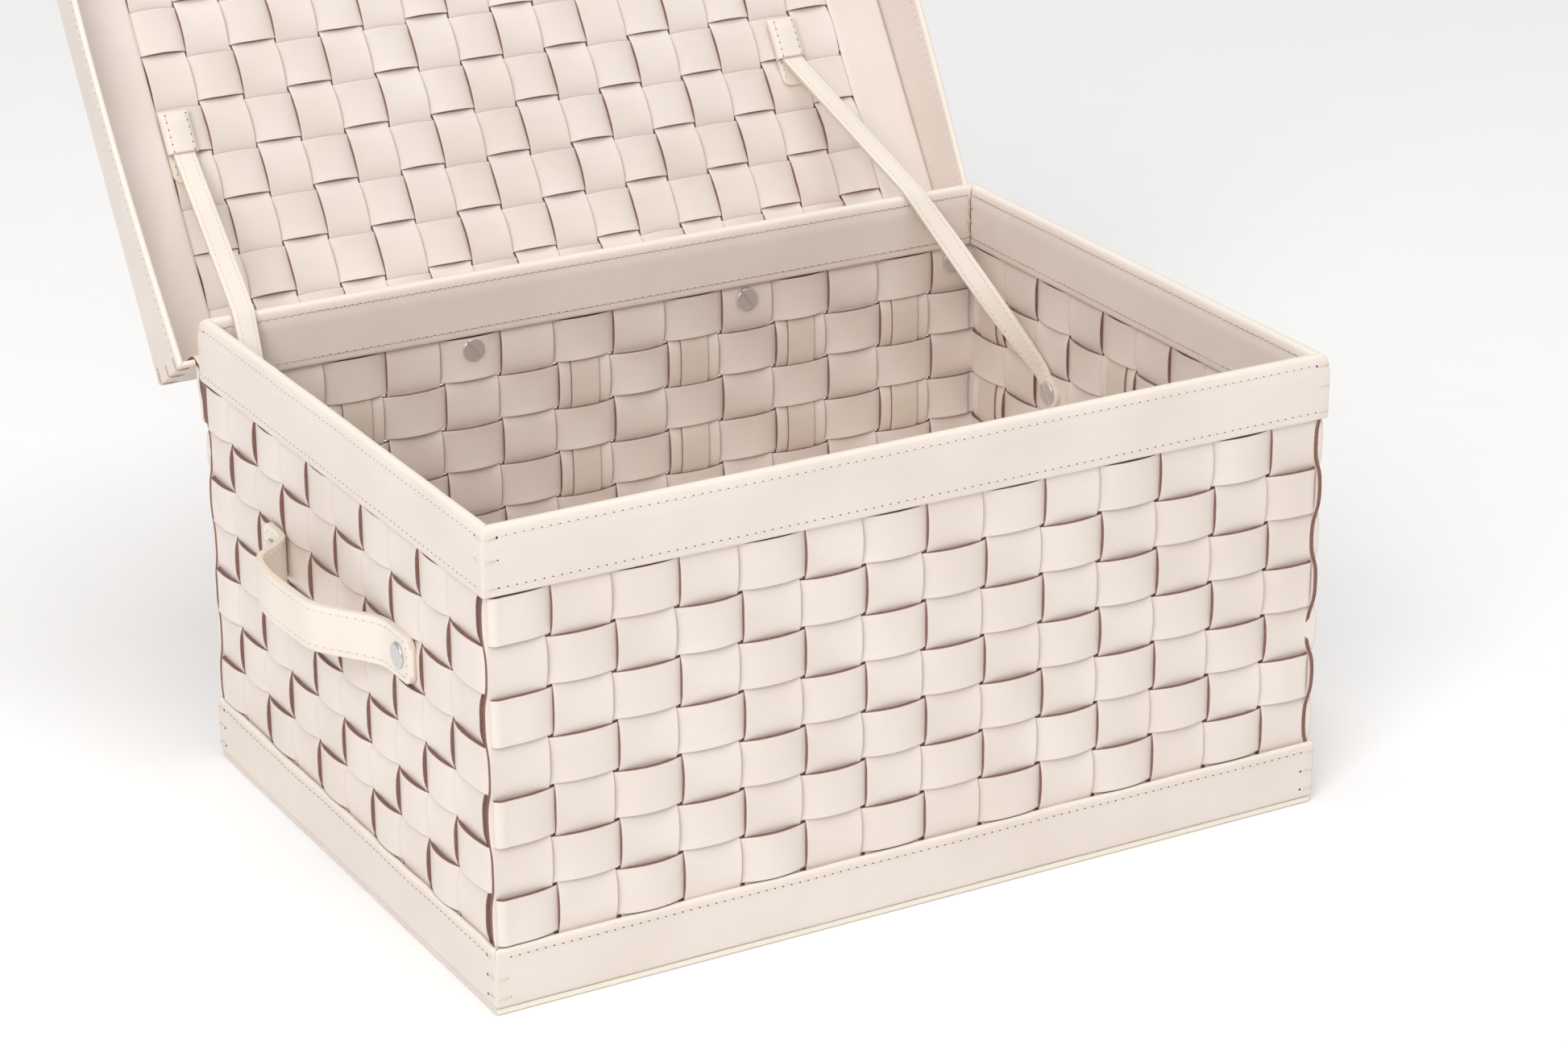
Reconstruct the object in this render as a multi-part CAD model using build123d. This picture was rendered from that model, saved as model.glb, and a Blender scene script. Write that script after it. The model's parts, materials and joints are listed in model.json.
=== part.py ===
from build123d import *
import math
import os

# Woven leather storage box with a hinged, telescoping lid.
# Millimetres. X runs along the length, -Y is the front, +Z is up.
# The origin is the centre of the sole's underside. The lid is drawn standing open.

# ---------------------------------------------------------------- leather and clearances
leather = 2.4             # thickness of a woven strap
band_leather = 3.0        # thickness of the rim, base and lid-wall leather
lining_leather = 2.0      # thickness of the inner base band and the lid's frame plies
rib_leather = 1.0         # thickness of a stiffening rib
slip = 0.1                # room between plies that are sewn together
lay = leather / 2 + slip / 2   # how far a strap swings to each side where it crosses another

# ---------------------------------------------------------------- box
box_length = 450.0
box_width = 322.0
box_height = 236.0
rim_depth = 32.5          # how far the folded rim band reaches down
rim_round = 2.4           # rounding of the rim's top edges
base_band_height = 33.0
sole_thickness = 3.0
sole_inset = 0.8
band_lift = 0.4           # shadow gap between the sole and the bands
board_thickness = 4.0
floor_lining_thickness = 1.5

# ---------------------------------------------------------------- box weave
strap_width = 29.6        # upright straps
long_count = 14           # upright straps in the front and in the back
side_count = 10           # upright straps in each end
row_count = 7             # hoops that go round the box
row_gap = 1.4             # gap between two hoops
long_margin = 4.0         # outer corner to the first upright strap, front and back
side_margin = 8.4         # the same on the ends
rib_width = 16.0
long_ribs = (2, 6, 8, 10, 12)
side_ribs = (1, 5, 9)

# ---------------------------------------------------------------- handles and their screws
handle_span = 144.0       # screw to screw
handle_height = 144.5     # screw centres above the floor
handle_width = 24.0
handle_thickness = 3.2
handle_end = 12.0         # strap beyond each screw
handle_bow = 25.0         # how far the grip stands off the wall
handle_bend = 20.0        # radius of the grip's bends
post_radius = 2.5
cap_radius = 6.2
cap_height = 1.7
head_radius = 6.0
head_height = 1.8
slot_width = 1.3
slot_depth = 0.8
thread_radius = 1.5
thread_room = 0.1
head_edge = 0.5           # rounding of the screw's head
slot_turn = 35.0          # degrees, as the screws happen to stand
handle_land = 8.0         # flat strap between a cap and the start of the bend

# ---------------------------------------------------------------- lid
lid_overhang = 7.0        # lid wall's outer face beyond the box's outer face
lid_wall_depth = 36.0     # mouth of the lid to the outer face of its panel
lid_seat = 0.3            # room between the rim and the lid panel when shut
lid_frame_width = 34.4    # solid frame round the lid's woven panel, from the outer face
lid_back_frame = 7.7      # the same along the hinge, where the weave runs up to the wall
lid_open_angle = 123.0    # from shut to held by the stays
hinge_back = 8.7          # hinge axis behind the box's back face
hinge_up = 3.1            # hinge axis above the rim's lower edge
lid_strap_width = 23.8
lid_columns = 16
lid_rows = 11
lid_tuck = 20.0           # how far a lid strap reaches in under the frame
lid_back_tuck = 4.0       # the same along the hinge

# ---------------------------------------------------------------- hinge tabs
tab_columns = (0, 4, 9, 13)
tab_width = 34.0
tab_drop = 22.5           # rim's lower edge to the lower end of the tab
tab_leg = 4.8             # two plies against the wall
tab_flap = 2.4            # one ply on the lid wall
tab_reach = 13.0          # how far the flap lies on the lid wall
tab_screw_drop = 7.5      # rim's lower edge to the screw
tab_bend = 1.0            # rim's lower edge to where the tab leaves the wall
tab_clear = 0.4           # room between the tab and the rim's face
tab_rise = 5.0            # how far the tab follows the rim's face up

# ---------------------------------------------------------------- stays and keepers
stay_width = 11.6
stay_thickness = 2.2
stay_end = 9.0            # strap beyond the screw
stay_flat = 12.0          # length that lies flat on the wall before the screw
stay_left_cross = 22.0    # left outer face to the stay where it crosses the back rim
stay_right_cross = 43.5   # right outer face to the other stay at the back rim
keeper_width = 16.0
keeper_ply = 1.6
keeper_pocket = 2.6
keeper_room = 0.4         # pocket wider than the stay
keeper_start = 100.0      # lid's outer back edge to the tongue of the keeper
keeper_mouth = 115.0      # the same, to the pocket's mouth
keeper_top = 137.0        # the same, to the keeper's sewn end
keeper_left = 35.5        # left outer face of the box to the left keeper's middle
keeper_right = 60.2       # right outer face of the box to the right keeper's middle
keeper_round = 5.0        # rounding of the tongue's corners
stay_short = 3.0          # keeper's sewn end to the stay's end
stay_rim_in = 1.2         # inner face of the back rim to where the stay bends over it
stay_rim_up = 2.5         # the same above the rim
stay_steps = 4            # sections over which the stay turns edgewise
overrun = 1.0             # how far a cutter goes past the face it cuts

# ---------------------------------------------------------------- worked out from the above
half_slot = leather / 2 + slip
middle = band_leather + half_slot         # outer face to the middle of the weave
rim_thickness = 2 * middle
weave_half = lay + leather / 2            # middle of the weave to its outer face
rim_bottom = box_height - rim_depth
row_pitch = (rim_bottom - base_band_height) / row_count
hoop_height = row_pitch - row_gap
rib_shift = rib_leather + slip            # extra room an outside strap leaves for its rib
hinge_y = box_width / 2 + hinge_back
hinge_z = rim_bottom + hinge_up
lid_length = box_length + 2 * lid_overhang
lid_width = box_width + 2 * lid_overhang
lid_under = box_height + lid_seat
strap_level = lid_under + lining_leather + half_slot    # middle of the lid's weave, lid shut
lid_top = strap_level + half_slot + lining_leather
mouth_level = lid_top - lid_wall_depth - lining_leather - slip
weave_length = lid_length - 2 * lid_frame_width
weave_width = lid_width - lid_frame_width - lid_back_frame
weave_shift = (lid_frame_width - lid_back_frame) / 2    # the weave's middle behind the lid's

os.makedirs("parts", exist_ok=True)


def save(shape, name):
    """Write one node; a list becomes a group of separate solids."""
    if isinstance(shape, list):
        shape = Compound(children=shape)
    export_step(shape, "parts/" + name + ".step")


def block(x0, x1, y0, y1, z0, z1):
    """A box between two corners."""
    return Pos((x0 + x1) / 2, (y0 + y1) / 2, (z0 + z1) / 2) * Box(x1 - x0, y1 - y0, z1 - z0)


def slab(length, width, z0, z1):
    """A plate centred on the Z axis."""
    return block(-length / 2, length / 2, -width / 2, width / 2, z0, z1)


def frame_ring(length, width, thickness, z0, z1):
    """A rectangular ring with the given outer size."""
    hole = slab(length - 2 * thickness, width - 2 * thickness, z0 - overrun, z1 + overrun)
    return slab(length, width, z0, z1) - hole


def side_wedge(side, length, width, depth, z0, z1):
    """The mitred share of a ring that belongs to one side, a hair short of its neighbours."""
    long_side = side in ("front", "back")
    half = (length if long_side else width) / 2 - slip / 2
    face = (width if long_side else length) / 2 + overrun
    inner = face - overrun - depth
    outline = [(-half - overrun, face), (half + overrun, face), (half - depth, inner),
               (depth - half, inner)]
    wedge = extrude(make_face(Polyline(*outline, close=True)), amount=z1 - z0)
    turn = {"back": 0, "left": 90, "front": 180, "right": 270}[side]
    return Pos(0, 0, z0) * (Rot(0, 0, turn) * wedge)


SIDES = ("front", "right", "back", "left")


def split_sides(ring, length, width, depth, z0, z1):
    """Cut a ring into its four mitred sides."""
    return {side: ring & side_wedge(side, length, width, depth, z0, z1) for side in SIDES}


# Each wall is described by the distance s along it and the offset n outwards from the
# middle of the weave. Walking round the box, the uprights are numbered 0 to 47.
def wall(side):
    """(number of uprights, first upright's number, margin, wall length)."""
    start = {"front": 0, "right": long_count, "back": long_count + side_count,
             "left": 2 * long_count + side_count}[side]
    if side in ("front", "back"):
        return long_count, start, long_margin, box_length
    return side_count, start, side_margin, box_width


def place(side, s, n):
    """Plan position of the point s along a wall and n outwards from the weave's middle."""
    along = s - (box_length if side in ("front", "back") else box_width) / 2
    out = (box_width if side in ("front", "back") else box_length) / 2 - middle + n
    return {"front": (along, -out), "right": (out, along),
            "back": (-along, out), "left": (-out, -along)}[side]


def wall_axis(side, s, z, n):
    """A plane at a point of the wall whose normal points outwards."""
    x, y = place(side, s, n)
    out = {"front": (0, -1, 0), "right": (1, 0, 0), "back": (0, 1, 0), "left": (-1, 0, 0)}[side]
    return Plane(origin=(x, y, z), x_dir=(0, 0, 1), z_dir=out)


def uprights(side):
    """Start of every upright along its wall."""
    count, start, margin, length = wall(side)
    pitch = (length - 2 * margin - strap_width) / (count - 1)
    return [margin + k * pitch for k in range(count)]


def upright_outside(number, row):
    """True where the upright passes outside the hoop."""
    return (number + row) % 2 == 1


def row_middle(row):
    return rim_bottom - (row + 0.5) * row_pitch


def ribs_of(side):
    """Which uprights of a wall carry a rib, the same on facing walls."""
    ribs = long_ribs if side in ("front", "back") else side_ribs
    if side in ("front", "right"):
        return ribs
    return [wall(side)[0] - 1 - k for k in ribs]


def woven_path(offsets):
    """(z, n) points of a rib or upright: straight beside each hoop, swinging over between them."""
    points = []
    for row in reversed(range(row_count)):
        low = row_middle(row) - hoop_height / 2 - slip / 2
        high = row_middle(row) + hoop_height / 2 + slip / 2
        points += [(low, offsets[row]), (high, offsets[row])]
    return points


def strap_from_path(side, path, thickness, s, width):
    """Extrude the side view of an upright along its wall."""
    ring = [(z, n + thickness / 2) for z, n in path]
    ring += [(z, n - thickness / 2) for z, n in reversed(path)]
    points = [(*place(side, s, n), z) for z, n in ring]
    (x0, y0), (x1, y1) = place(side, s, 0), place(side, s + width, 0)
    face = Face(Wire(Polyline(*points, close=True)))
    return Solid.extrude(face, Vector(x1 - x0, y1 - y0, 0))


def screw_hole(side, s, z):
    """A round cutter through the weave."""
    return extrude(wall_axis(side, s, z, 0) * Circle(post_radius + slip), amount=4 * leather, both=True)


def handle_holes(side):
    """Both screws of the handle on one end."""
    middle_s = box_width / 2
    return [screw_hole(side, middle_s + d, handle_height) for d in (-handle_span / 2, handle_span / 2)]


def tab_middle(column):
    return uprights("back")[long_count - 1 - column] + strap_width / 2


def hinge_holes():
    """The four hinge screws through the back wall."""
    return [screw_hole("back", tab_middle(c), rim_bottom - tab_screw_drop) for c in tab_columns]


def holes_in(side):
    if side == "back":
        return hinge_holes()
    return handle_holes(side) if side in ("left", "right") else []


def make_uprights(side):
    """All upright straps of one wall, from inside the base bands to inside the rim fold."""
    _, start, _, _ = wall(side)
    straps = []
    for k, s in enumerate(uprights(side)):
        out = lay + (rib_shift if k in ribs_of(side) else 0)
        offsets = [out if upright_outside(start + k, row) else -lay for row in range(row_count)]
        foot = [(sole_thickness + band_lift, 0), (base_band_height + slip, 0)]
        head = [(rim_bottom - slip, 0), (box_height - band_leather - slip, 0)]
        path = foot + woven_path(offsets) + head
        strap = strap_from_path(side, path, leather, s, strap_width)
        for hole in holes_in(side):
            strap = strap - hole
        straps.append(strap)
    return straps


def make_ribs(side):
    """Thin ribs on the inner face of some uprights, held there by the hoops."""
    _, start, _, _ = wall(side)
    ribs = []
    for k in ribs_of(side):
        under = slip / 2 + rib_leather / 2
        proud = -(weave_half + slip + rib_leather / 2)
        offsets = [under if upright_outside(start + k, row) else proud for row in range(row_count)]
        s = uprights(side)[k] + (strap_width - rib_width) / 2
        ribs.append(strap_from_path(side, woven_path(offsets), rib_leather, s, rib_width))
    return ribs


def hoop_corner(long_outside):
    """Way round a corner as (u, v, du, dv): u and v are in from the end wall's and from the
    long wall's outer face, du and dv shift the point to the strap's outer face."""
    half = leather / 2
    if not long_outside:
        return [(middle - lay, middle + lay, -half, -half)]
    turn = long_margin - slip - half
    behind = middle + weave_half + slip
    return [(turn, middle - lay, -half, -half), (turn, behind, -half, 0),
            (middle + lay, side_margin - slip, -half, 0)]


def hoop_outline(row):
    """Outer and inner plan outlines of one hoop."""
    outer = []
    inner = []
    for side in SIDES:
        count, start, _, length = wall(side)
        long_side = side in ("front", "back")
        for k, s in enumerate(uprights(side)):
            n = -lay if upright_outside(start + k, row) else lay
            ends = [s - slip / 2, s + strap_width + slip / 2]
            if k == 0:
                ends = ends[1:]
            if k == count - 1:
                ends = ends[:1]
            for end in ends:
                outer.append(place(side, end, n + leather / 2))
                inner.append(place(side, end, n - leather / 2))
        last = upright_outside(start + count - 1, row)
        long_outside = not last if long_side else last
        corner = hoop_corner(long_outside)
        if not long_side:
            corner = corner[::-1]
        half_x, half_y = box_length / 2, box_width / 2
        sign_x, sign_y = {"front": (1, -1), "right": (1, 1), "back": (-1, 1), "left": (-1, -1)}[side]
        for u, v, du, dv in corner:
            outer.append((sign_x * (half_x - u - du), sign_y * (half_y - v - dv)))
            inner.append((sign_x * (half_x - u + du), sign_y * (half_y - v + dv)))
    return outer, inner


def make_hoop(row):
    """One strap that goes right round the box, in and out of the uprights."""
    outer, inner = hoop_outline(row)
    ring = make_face(Polyline(*outer, close=True)) - make_face(Polyline(*inner, close=True))
    hoop = Pos(0, 0, row_middle(row) - hoop_height / 2) * extrude(ring, amount=hoop_height)
    cutters = hinge_holes() if row == 0 else []
    low = row_middle(row) - hoop_height / 2
    if low < handle_height < low + hoop_height:
        cutters = handle_holes("left") + handle_holes("right")
    for cutter in cutters:
        hoop = hoop - cutter
    return hoop


def make_rim_bands():
    """Leather folded over the tops of the uprights, one piece a side, mitred at the corners."""
    ring = frame_ring(box_length, box_width, rim_thickness, rim_bottom, box_height)
    ring = fillet(ring.edges().group_by(Axis.Z)[-1], rim_round)
    fold = band_leather
    slot = frame_ring(box_length - 2 * fold, box_width - 2 * fold, 2 * half_slot,
                      rim_bottom - overrun, box_height - fold)
    ring = ring - slot
    return split_sides(ring, box_length, box_width, rim_thickness + overrun, rim_bottom, box_height)


def make_base_bands():
    low = sole_thickness + band_lift
    ring = frame_ring(box_length, box_width, band_leather, low, base_band_height)
    return split_sides(ring, box_length, box_width, band_leather + overrun, low, base_band_height)


def make_base_linings():
    """Inner bands that clamp the uprights' feet against the outer base bands."""
    low = sole_thickness + band_lift
    inset = middle + half_slot + slip / 2
    length = box_length - 2 * inset
    width = box_width - 2 * inset
    ring = frame_ring(length, width, lining_leather, low, base_band_height)
    return split_sides(ring, length, width, lining_leather + overrun, low, base_band_height)


def make_floor():
    """Sole, stiff board and floor lining."""
    inset = 2 * (middle + half_slot + lining_leather + slip)
    length = box_length - inset
    width = box_width - inset
    board_low = sole_thickness + slip
    board_top = board_low + board_thickness
    sole = slab(box_length - 2 * sole_inset, box_width - 2 * sole_inset, 0, sole_thickness)
    board = slab(length, width, board_low, board_top)
    lining = slab(length, width, board_top + slip, board_top + slip + floor_lining_thickness)
    return sole, board, lining


def make_handle(side):
    """Flat strap, screwed down at both ends and bowed out between them."""
    seat = weave_half + slip + handle_thickness / 2
    reach = handle_span / 2
    flat = reach - cap_radius - handle_land
    plan = [(-reach - handle_end, 0), (-flat, 0), (-flat + handle_bow, handle_bow),
            (flat - handle_bow, handle_bow), (flat, 0), (reach + handle_end, 0)]
    points = [place(side, box_width / 2 + s, seat + n) for s, n in plan]
    line = FilletPolyline(*points, radius=handle_bend)
    grip = Pos(0, 0, handle_height - handle_width / 2) * extrude(
        trace(line, handle_thickness), amount=handle_width)
    for hole in handle_holes(side):
        grip = grip - hole
    return grip


def make_post(plane, length):
    """Round cap with a hollow shank; the plane is the cap's seat, its normal points outwards."""
    cap = extrude(plane * Circle(cap_radius), amount=cap_height)
    cap = fillet(cap.edges().sort_by(Axis(plane.origin, plane.z_dir))[-1], cap_height / 2)
    shank = extrude(plane * Circle(post_radius), amount=-length)
    bore = extrude(plane * Circle(thread_radius + thread_room), amount=-(length + overrun))
    return cap + (shank - bore)


def make_screw(plane, length):
    """Slotted head and thread; the plane is the head's seat, its normal points to the head."""
    head = extrude(plane * Circle(head_radius), amount=head_height)
    head = fillet(head.edges().sort_by(Axis(plane.origin, plane.z_dir))[-1], head_edge)
    slot_face = Plane(origin=plane.origin + plane.z_dir * head_height, x_dir=plane.x_dir,
                      z_dir=plane.z_dir)
    slot = slot_face * Rot(0, 0, slot_turn) * Rectangle(3 * head_radius, slot_width)
    head = head - extrude(slot, amount=-slot_depth)
    return head + extrude(plane * Circle(thread_radius), amount=-length)


def screw_pair(side, s, z, outer, inner):
    """Post from outside at offset outer, slotted screw from inside at offset inner."""
    seat = wall_axis(side, s, z, outer)
    post = make_post(seat, outer - inner - slip)
    face = wall_axis(side, s, z, inner)
    back = Plane(origin=face.origin, x_dir=face.x_dir, z_dir=-face.z_dir)
    screw = make_screw(back, outer - inner - cap_height)
    return post, screw


def make_handle_fixings(side):
    """The rear pair also holds the end of the lid stay inside the box."""
    outer = weave_half + 2 * slip + handle_thickness
    front_s = -handle_span / 2 if side == "right" else handle_span / 2
    pairs = []
    for d in (front_s, -front_s):
        inner = -weave_half - slip
        if d != front_s:
            inner -= stay_thickness + slip
        pairs.append(screw_pair(side, box_width / 2 + d, handle_height, outer, inner))
    return [p for p, _ in pairs], [s for _, s in pairs]


def tab_profile():
    """Side view (y, z) of a hinge tab with the lid open: two plies down the wall, then one ply
    over the mouth of the lid's back wall and on to its inner face."""
    wall_face = box_width / 2 - middle + weave_half + slip
    rim_face = box_width / 2 + tab_clear
    bottom = rim_bottom - tab_drop
    skirt_in = lid_width / 2 - band_leather
    corners = [open_point(skirt_in - slip - ply, mouth_level + d)
               for ply, d in ((0, tab_reach), (tab_flap, tab_reach), (tab_flap, -slip), (0, -slip))]
    far_in, far_out, near_out, near_in = corners
    edge = open_point(lid_width / 2 - band_leather / 2, mouth_level - slip)
    return [(wall_face, bottom), (wall_face, rim_bottom - 2 * tab_bend), (rim_face, rim_bottom - slip),
            (rim_face + tab_clear, rim_bottom + tab_rise), near_out, far_out, far_in, near_in, edge,
            (wall_face + tab_leg, rim_bottom - tab_bend), (wall_face + tab_leg, bottom)]


def open_point(y, z):
    """Where a point of the shut lid lies once the lid stands open."""
    angle = math.radians(-lid_open_angle)
    dy, dz = y - hinge_y, z - hinge_z
    return (hinge_y + dy * math.cos(angle) - dz * math.sin(angle),
            hinge_z + dy * math.sin(angle) + dz * math.cos(angle))


def tab_centre_x(column):
    return place("back", tab_middle(column), 0)[0]


def make_tab(column):
    x = tab_centre_x(column) - tab_width / 2
    face = Face(Wire(Polyline(*[(x, y, z) for y, z in tab_profile()], close=True)))
    tab = Solid.extrude(face, Vector(tab_width, 0, 0))
    return tab - screw_hole("back", tab_middle(column), rim_bottom - tab_screw_drop)


def make_hinge_fixings():
    outer = weave_half + slip + tab_leg + slip
    inner = -weave_half - slip
    z = rim_bottom - tab_screw_drop
    pairs = [screw_pair("back", tab_middle(c), z, outer, inner) for c in tab_columns]
    return [p for p, _ in pairs], [s for _, s in pairs]


def opened(shape):
    """Turn a piece of the shut lid to the open pose."""
    return shape.rotate(Axis((0, hinge_y, hinge_z), (1, 0, 0)), -lid_open_angle)


def make_lid_walls():
    ring = frame_ring(lid_length, lid_width, band_leather, mouth_level, lid_top)
    return split_sides(ring, lid_length, lid_width, band_leather + overrun, mouth_level, lid_top)


def lid_frame_ply(z0):
    """Flat frame between the lid walls and the woven panel."""
    inset = 2 * (band_leather + slip)
    z1 = z0 + lining_leather
    hole = Pos(0, weave_shift, 0) * slab(weave_length, weave_width, z0 - overrun, z1 + overrun)
    return slab(lid_length - inset, lid_width - inset, z0, z1) - hole


def make_lid_frames():
    inset = 2 * (band_leather + slip)
    sides = split_sides(lid_frame_ply(lid_under), lid_length - inset, lid_width - inset,
                        lid_frame_width + overrun, lid_under, lid_under + lining_leather)
    return sides, lid_frame_ply(strap_level + half_slot)


def lid_strap(length, count, pitch, outside, last_tuck=lid_tuck):
    """A strap along X: offsets follow outside(k), its ends lie flat under the frame."""
    edge = length / 2
    path = [(-edge - lid_tuck, 0), (-edge + slip / 2, 0)]
    for k in range(count):
        low = -edge + k * pitch + (pitch - lid_strap_width) / 2
        n = -lay if outside(k) else lay
        path += [(low - slip / 2, n), (low + lid_strap_width + slip / 2, n)]
    path += [(edge - slip / 2, 0), (edge + last_tuck, 0)]
    ring = [(x, 0, strap_level + n + leather / 2) for x, n in path]
    ring += [(x, 0, strap_level + n - leather / 2) for x, n in reversed(path)]
    face = Face(Wire(Polyline(*ring, close=True)))
    return Pos(0, -lid_strap_width / 2, 0) * Solid.extrude(face, Vector(0, lid_strap_width, 0))


def make_lid_weave():
    """Columns are counted from the left and rows from the hinge; a cross strap shows inside
    the lid where their sum is odd."""
    pitch_x = weave_length / lid_columns
    pitch_y = weave_width / lid_rows
    long_straps = []
    for j in range(lid_rows):
        y = weave_shift + weave_width / 2 - (j + 0.5) * pitch_y
        strap = lid_strap(weave_length, lid_columns, pitch_x, lambda i: (i + j) % 2 == 0)
        long_straps.append(Pos(0, y, 0) * strap)
    cross_straps = []
    for i in range(lid_columns):
        x = -weave_length / 2 + (i + 0.5) * pitch_x
        strap = lid_strap(weave_width, lid_rows, pitch_y,
                          lambda k: (i + lid_rows - 1 - k) % 2 == 1, lid_back_tuck)
        cross_straps.append(Pos(x, weave_shift, 0) * (Rot(0, 0, 90) * strap))
    return long_straps, cross_straps


def keeper_x(side):
    return keeper_left - box_length / 2 if side == "left" else box_length / 2 - keeper_right


def keeper_levels():
    """Heights in the shut lid: seat under the weave, then the pocket's roof and floor."""
    seat = strap_level - weave_half - slip
    roof = seat - keeper_ply
    return seat, roof, roof - keeper_pocket


def make_keeper(side):
    """Sewn pocket with a rounded tongue, on the inner face of the lid's panel."""
    x = keeper_x(side)
    back = lid_width / 2
    seat, roof, floor = keeper_levels()
    half = keeper_width / 2
    tongue = block(x - half, x + half, back - keeper_top, back - keeper_start, roof, seat)
    tongue = fillet(tongue.edges().filter_by(Axis.Z).group_by(Axis.Y)[-1], keeper_round)
    front = block(x - half, x + half, back - keeper_top, back - keeper_mouth, floor - keeper_ply, roof)
    wide = (stay_width + keeper_room) / 2
    pocket = block(x - wide, x + wide, back - keeper_top + keeper_ply, back - keeper_mouth + overrun,
                   floor, roof)
    return tongue + (front - pocket)


def stay_route(side):
    """Centre line of a stay with the lid open: out of the keeper, over the back rim, down to
    the handle's rear screw. Each entry is a point and the strap's width direction."""
    sign = -1 if side == "left" else 1
    cross = stay_left_cross if side == "left" else stay_right_cross
    seat, roof, floor = keeper_levels()
    level = (roof + floor) / 2
    x = keeper_x(side)
    y0, z0 = open_point(lid_width / 2 - keeper_top + stay_short, level)
    y1, z1 = open_point(lid_width / 2 - keeper_mouth + overrun, level)
    rim_in = box_width / 2 - rim_thickness
    over = Vector(sign * (box_length / 2 - cross), rim_in + stay_rim_in, box_height + stay_rim_up)
    face = box_length / 2 - middle - weave_half - slip - stay_thickness / 2
    screw = Vector(sign * face, handle_span / 2, handle_height)
    run = Vector(0, screw.Y - over.Y, screw.Z - over.Z).normalized()
    flat = screw - run * stay_flat
    across = Vector(1, 0, 0)
    upright = Vector(0, run.Z, -run.Y) * sign
    route = [(Vector(x, y0, z0), across), (Vector(x, y1, z1), across), (over, across)]
    for i in range(1, stay_steps + 1):
        share = i / stay_steps
        turn = math.radians(90 * share)
        width = across * math.cos(turn) + upright * math.sin(turn)
        route.append((over + (flat - over) * share, width))
    route.append((screw + run * stay_end, upright))
    return route


def make_stay(side):
    """Stay strap as a chain of flat sections along its route."""
    route = stay_route(side)
    sections = []
    for i, (point, width) in enumerate(route):
        before = route[max(i - 1, 0)][0]
        after = route[min(i + 1, len(route) - 1)][0]
        along = (after - before).normalized()
        wide = (width - along * width.dot(along)).normalized()
        plane = Plane(origin=point, x_dir=wide, z_dir=along)
        sections.append(plane * Rectangle(stay_width, stay_thickness))
    strap = loft(sections, ruled=True)
    return strap - screw_hole(side, box_width / 2 + (handle_span / 2) * (1 if side == "right" else -1),
                              handle_height)


# ---------------------------------------------------------------- build and write every node
sole, board, lining = make_floor()
save(sole, "sole_panel")
save(board, "base_board")
save(lining, "floor_lining")
base_bands = make_base_bands()
base_linings = make_base_linings()
rim_bands = make_rim_bands()
for side in SIDES:
    save(base_bands[side], "base_band_" + side)
    save(base_linings[side], "base_lining_" + side)
    save(rim_bands[side], "rim_band_" + side)
    save(make_uprights(side), "uprights_" + side)
    save(make_ribs(side), "ribs_" + side)
for row in range(row_count):
    save(make_hoop(row), "hoop_" + str(row + 1))
for side in ("left", "right"):
    posts, screws = make_handle_fixings(side)
    save(make_handle(side), "handle_" + side)
    save(posts, "handle_posts_" + side)
    save(screws, "handle_screws_" + side)
    save(make_stay(side), "stay_strap_" + side)
    save(opened(make_keeper(side)), "stay_keeper_" + side)
for number, column in enumerate(tab_columns):
    save(make_tab(column), "hinge_tab_" + str(number + 1))
posts, screws = make_hinge_fixings()
save(posts, "hinge_posts")
save(screws, "hinge_screws")
lid_walls = make_lid_walls()
lid_frames, top_frame = make_lid_frames()
for side in SIDES:
    save(opened(lid_walls[side]), "lid_wall_" + side)
    save(opened(lid_frames[side]), "lid_frame_" + side)
save(opened(top_frame), "lid_top_frame")
long_straps, cross_straps = make_lid_weave()
save([opened(strap) for strap in long_straps], "lid_long_straps")
save([opened(strap) for strap in cross_straps], "lid_cross_straps")
print("hinge axis y, z:", round(hinge_y, 3), round(hinge_z, 3), "mouth", round(mouth_level, 3),
      "lid top", round(lid_top, 3), "strap level", round(strap_level, 3))
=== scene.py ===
# %% [markdown]
# # A storage box woven from leather straps
#
# The real box is plain weave: stiff upright straps stand between a folded rim and a base band, and
# seven hoops run round them, over one and under the next. The lid is a shallow woven tray on leather
# hinge tabs. The CAD model already says where every piece is, so this lesson only makes the pieces
# look like cut and sewn leather. Each one is a surface worked out with numpy.

# %% Load the frame
import json
import math

import bpy
import numpy as np
from mathutils import Matrix, Vector


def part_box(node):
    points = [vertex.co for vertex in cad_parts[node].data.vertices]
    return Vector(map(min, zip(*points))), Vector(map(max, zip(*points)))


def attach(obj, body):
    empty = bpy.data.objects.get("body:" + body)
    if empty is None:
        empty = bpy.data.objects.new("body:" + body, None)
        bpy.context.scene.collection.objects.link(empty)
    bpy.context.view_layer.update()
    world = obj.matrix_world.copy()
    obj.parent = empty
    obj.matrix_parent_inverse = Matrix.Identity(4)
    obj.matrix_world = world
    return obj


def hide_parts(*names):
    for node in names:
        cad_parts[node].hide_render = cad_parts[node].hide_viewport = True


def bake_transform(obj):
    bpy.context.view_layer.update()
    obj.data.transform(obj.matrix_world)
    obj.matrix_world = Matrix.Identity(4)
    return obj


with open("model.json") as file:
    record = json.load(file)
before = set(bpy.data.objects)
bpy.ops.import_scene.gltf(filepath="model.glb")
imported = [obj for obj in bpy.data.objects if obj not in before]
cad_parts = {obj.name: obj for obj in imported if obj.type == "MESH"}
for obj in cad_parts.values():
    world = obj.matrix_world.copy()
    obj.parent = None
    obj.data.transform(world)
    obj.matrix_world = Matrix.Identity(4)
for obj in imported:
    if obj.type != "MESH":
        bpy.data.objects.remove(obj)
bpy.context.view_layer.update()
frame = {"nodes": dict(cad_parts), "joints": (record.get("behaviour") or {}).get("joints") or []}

MM = 0.001
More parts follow.
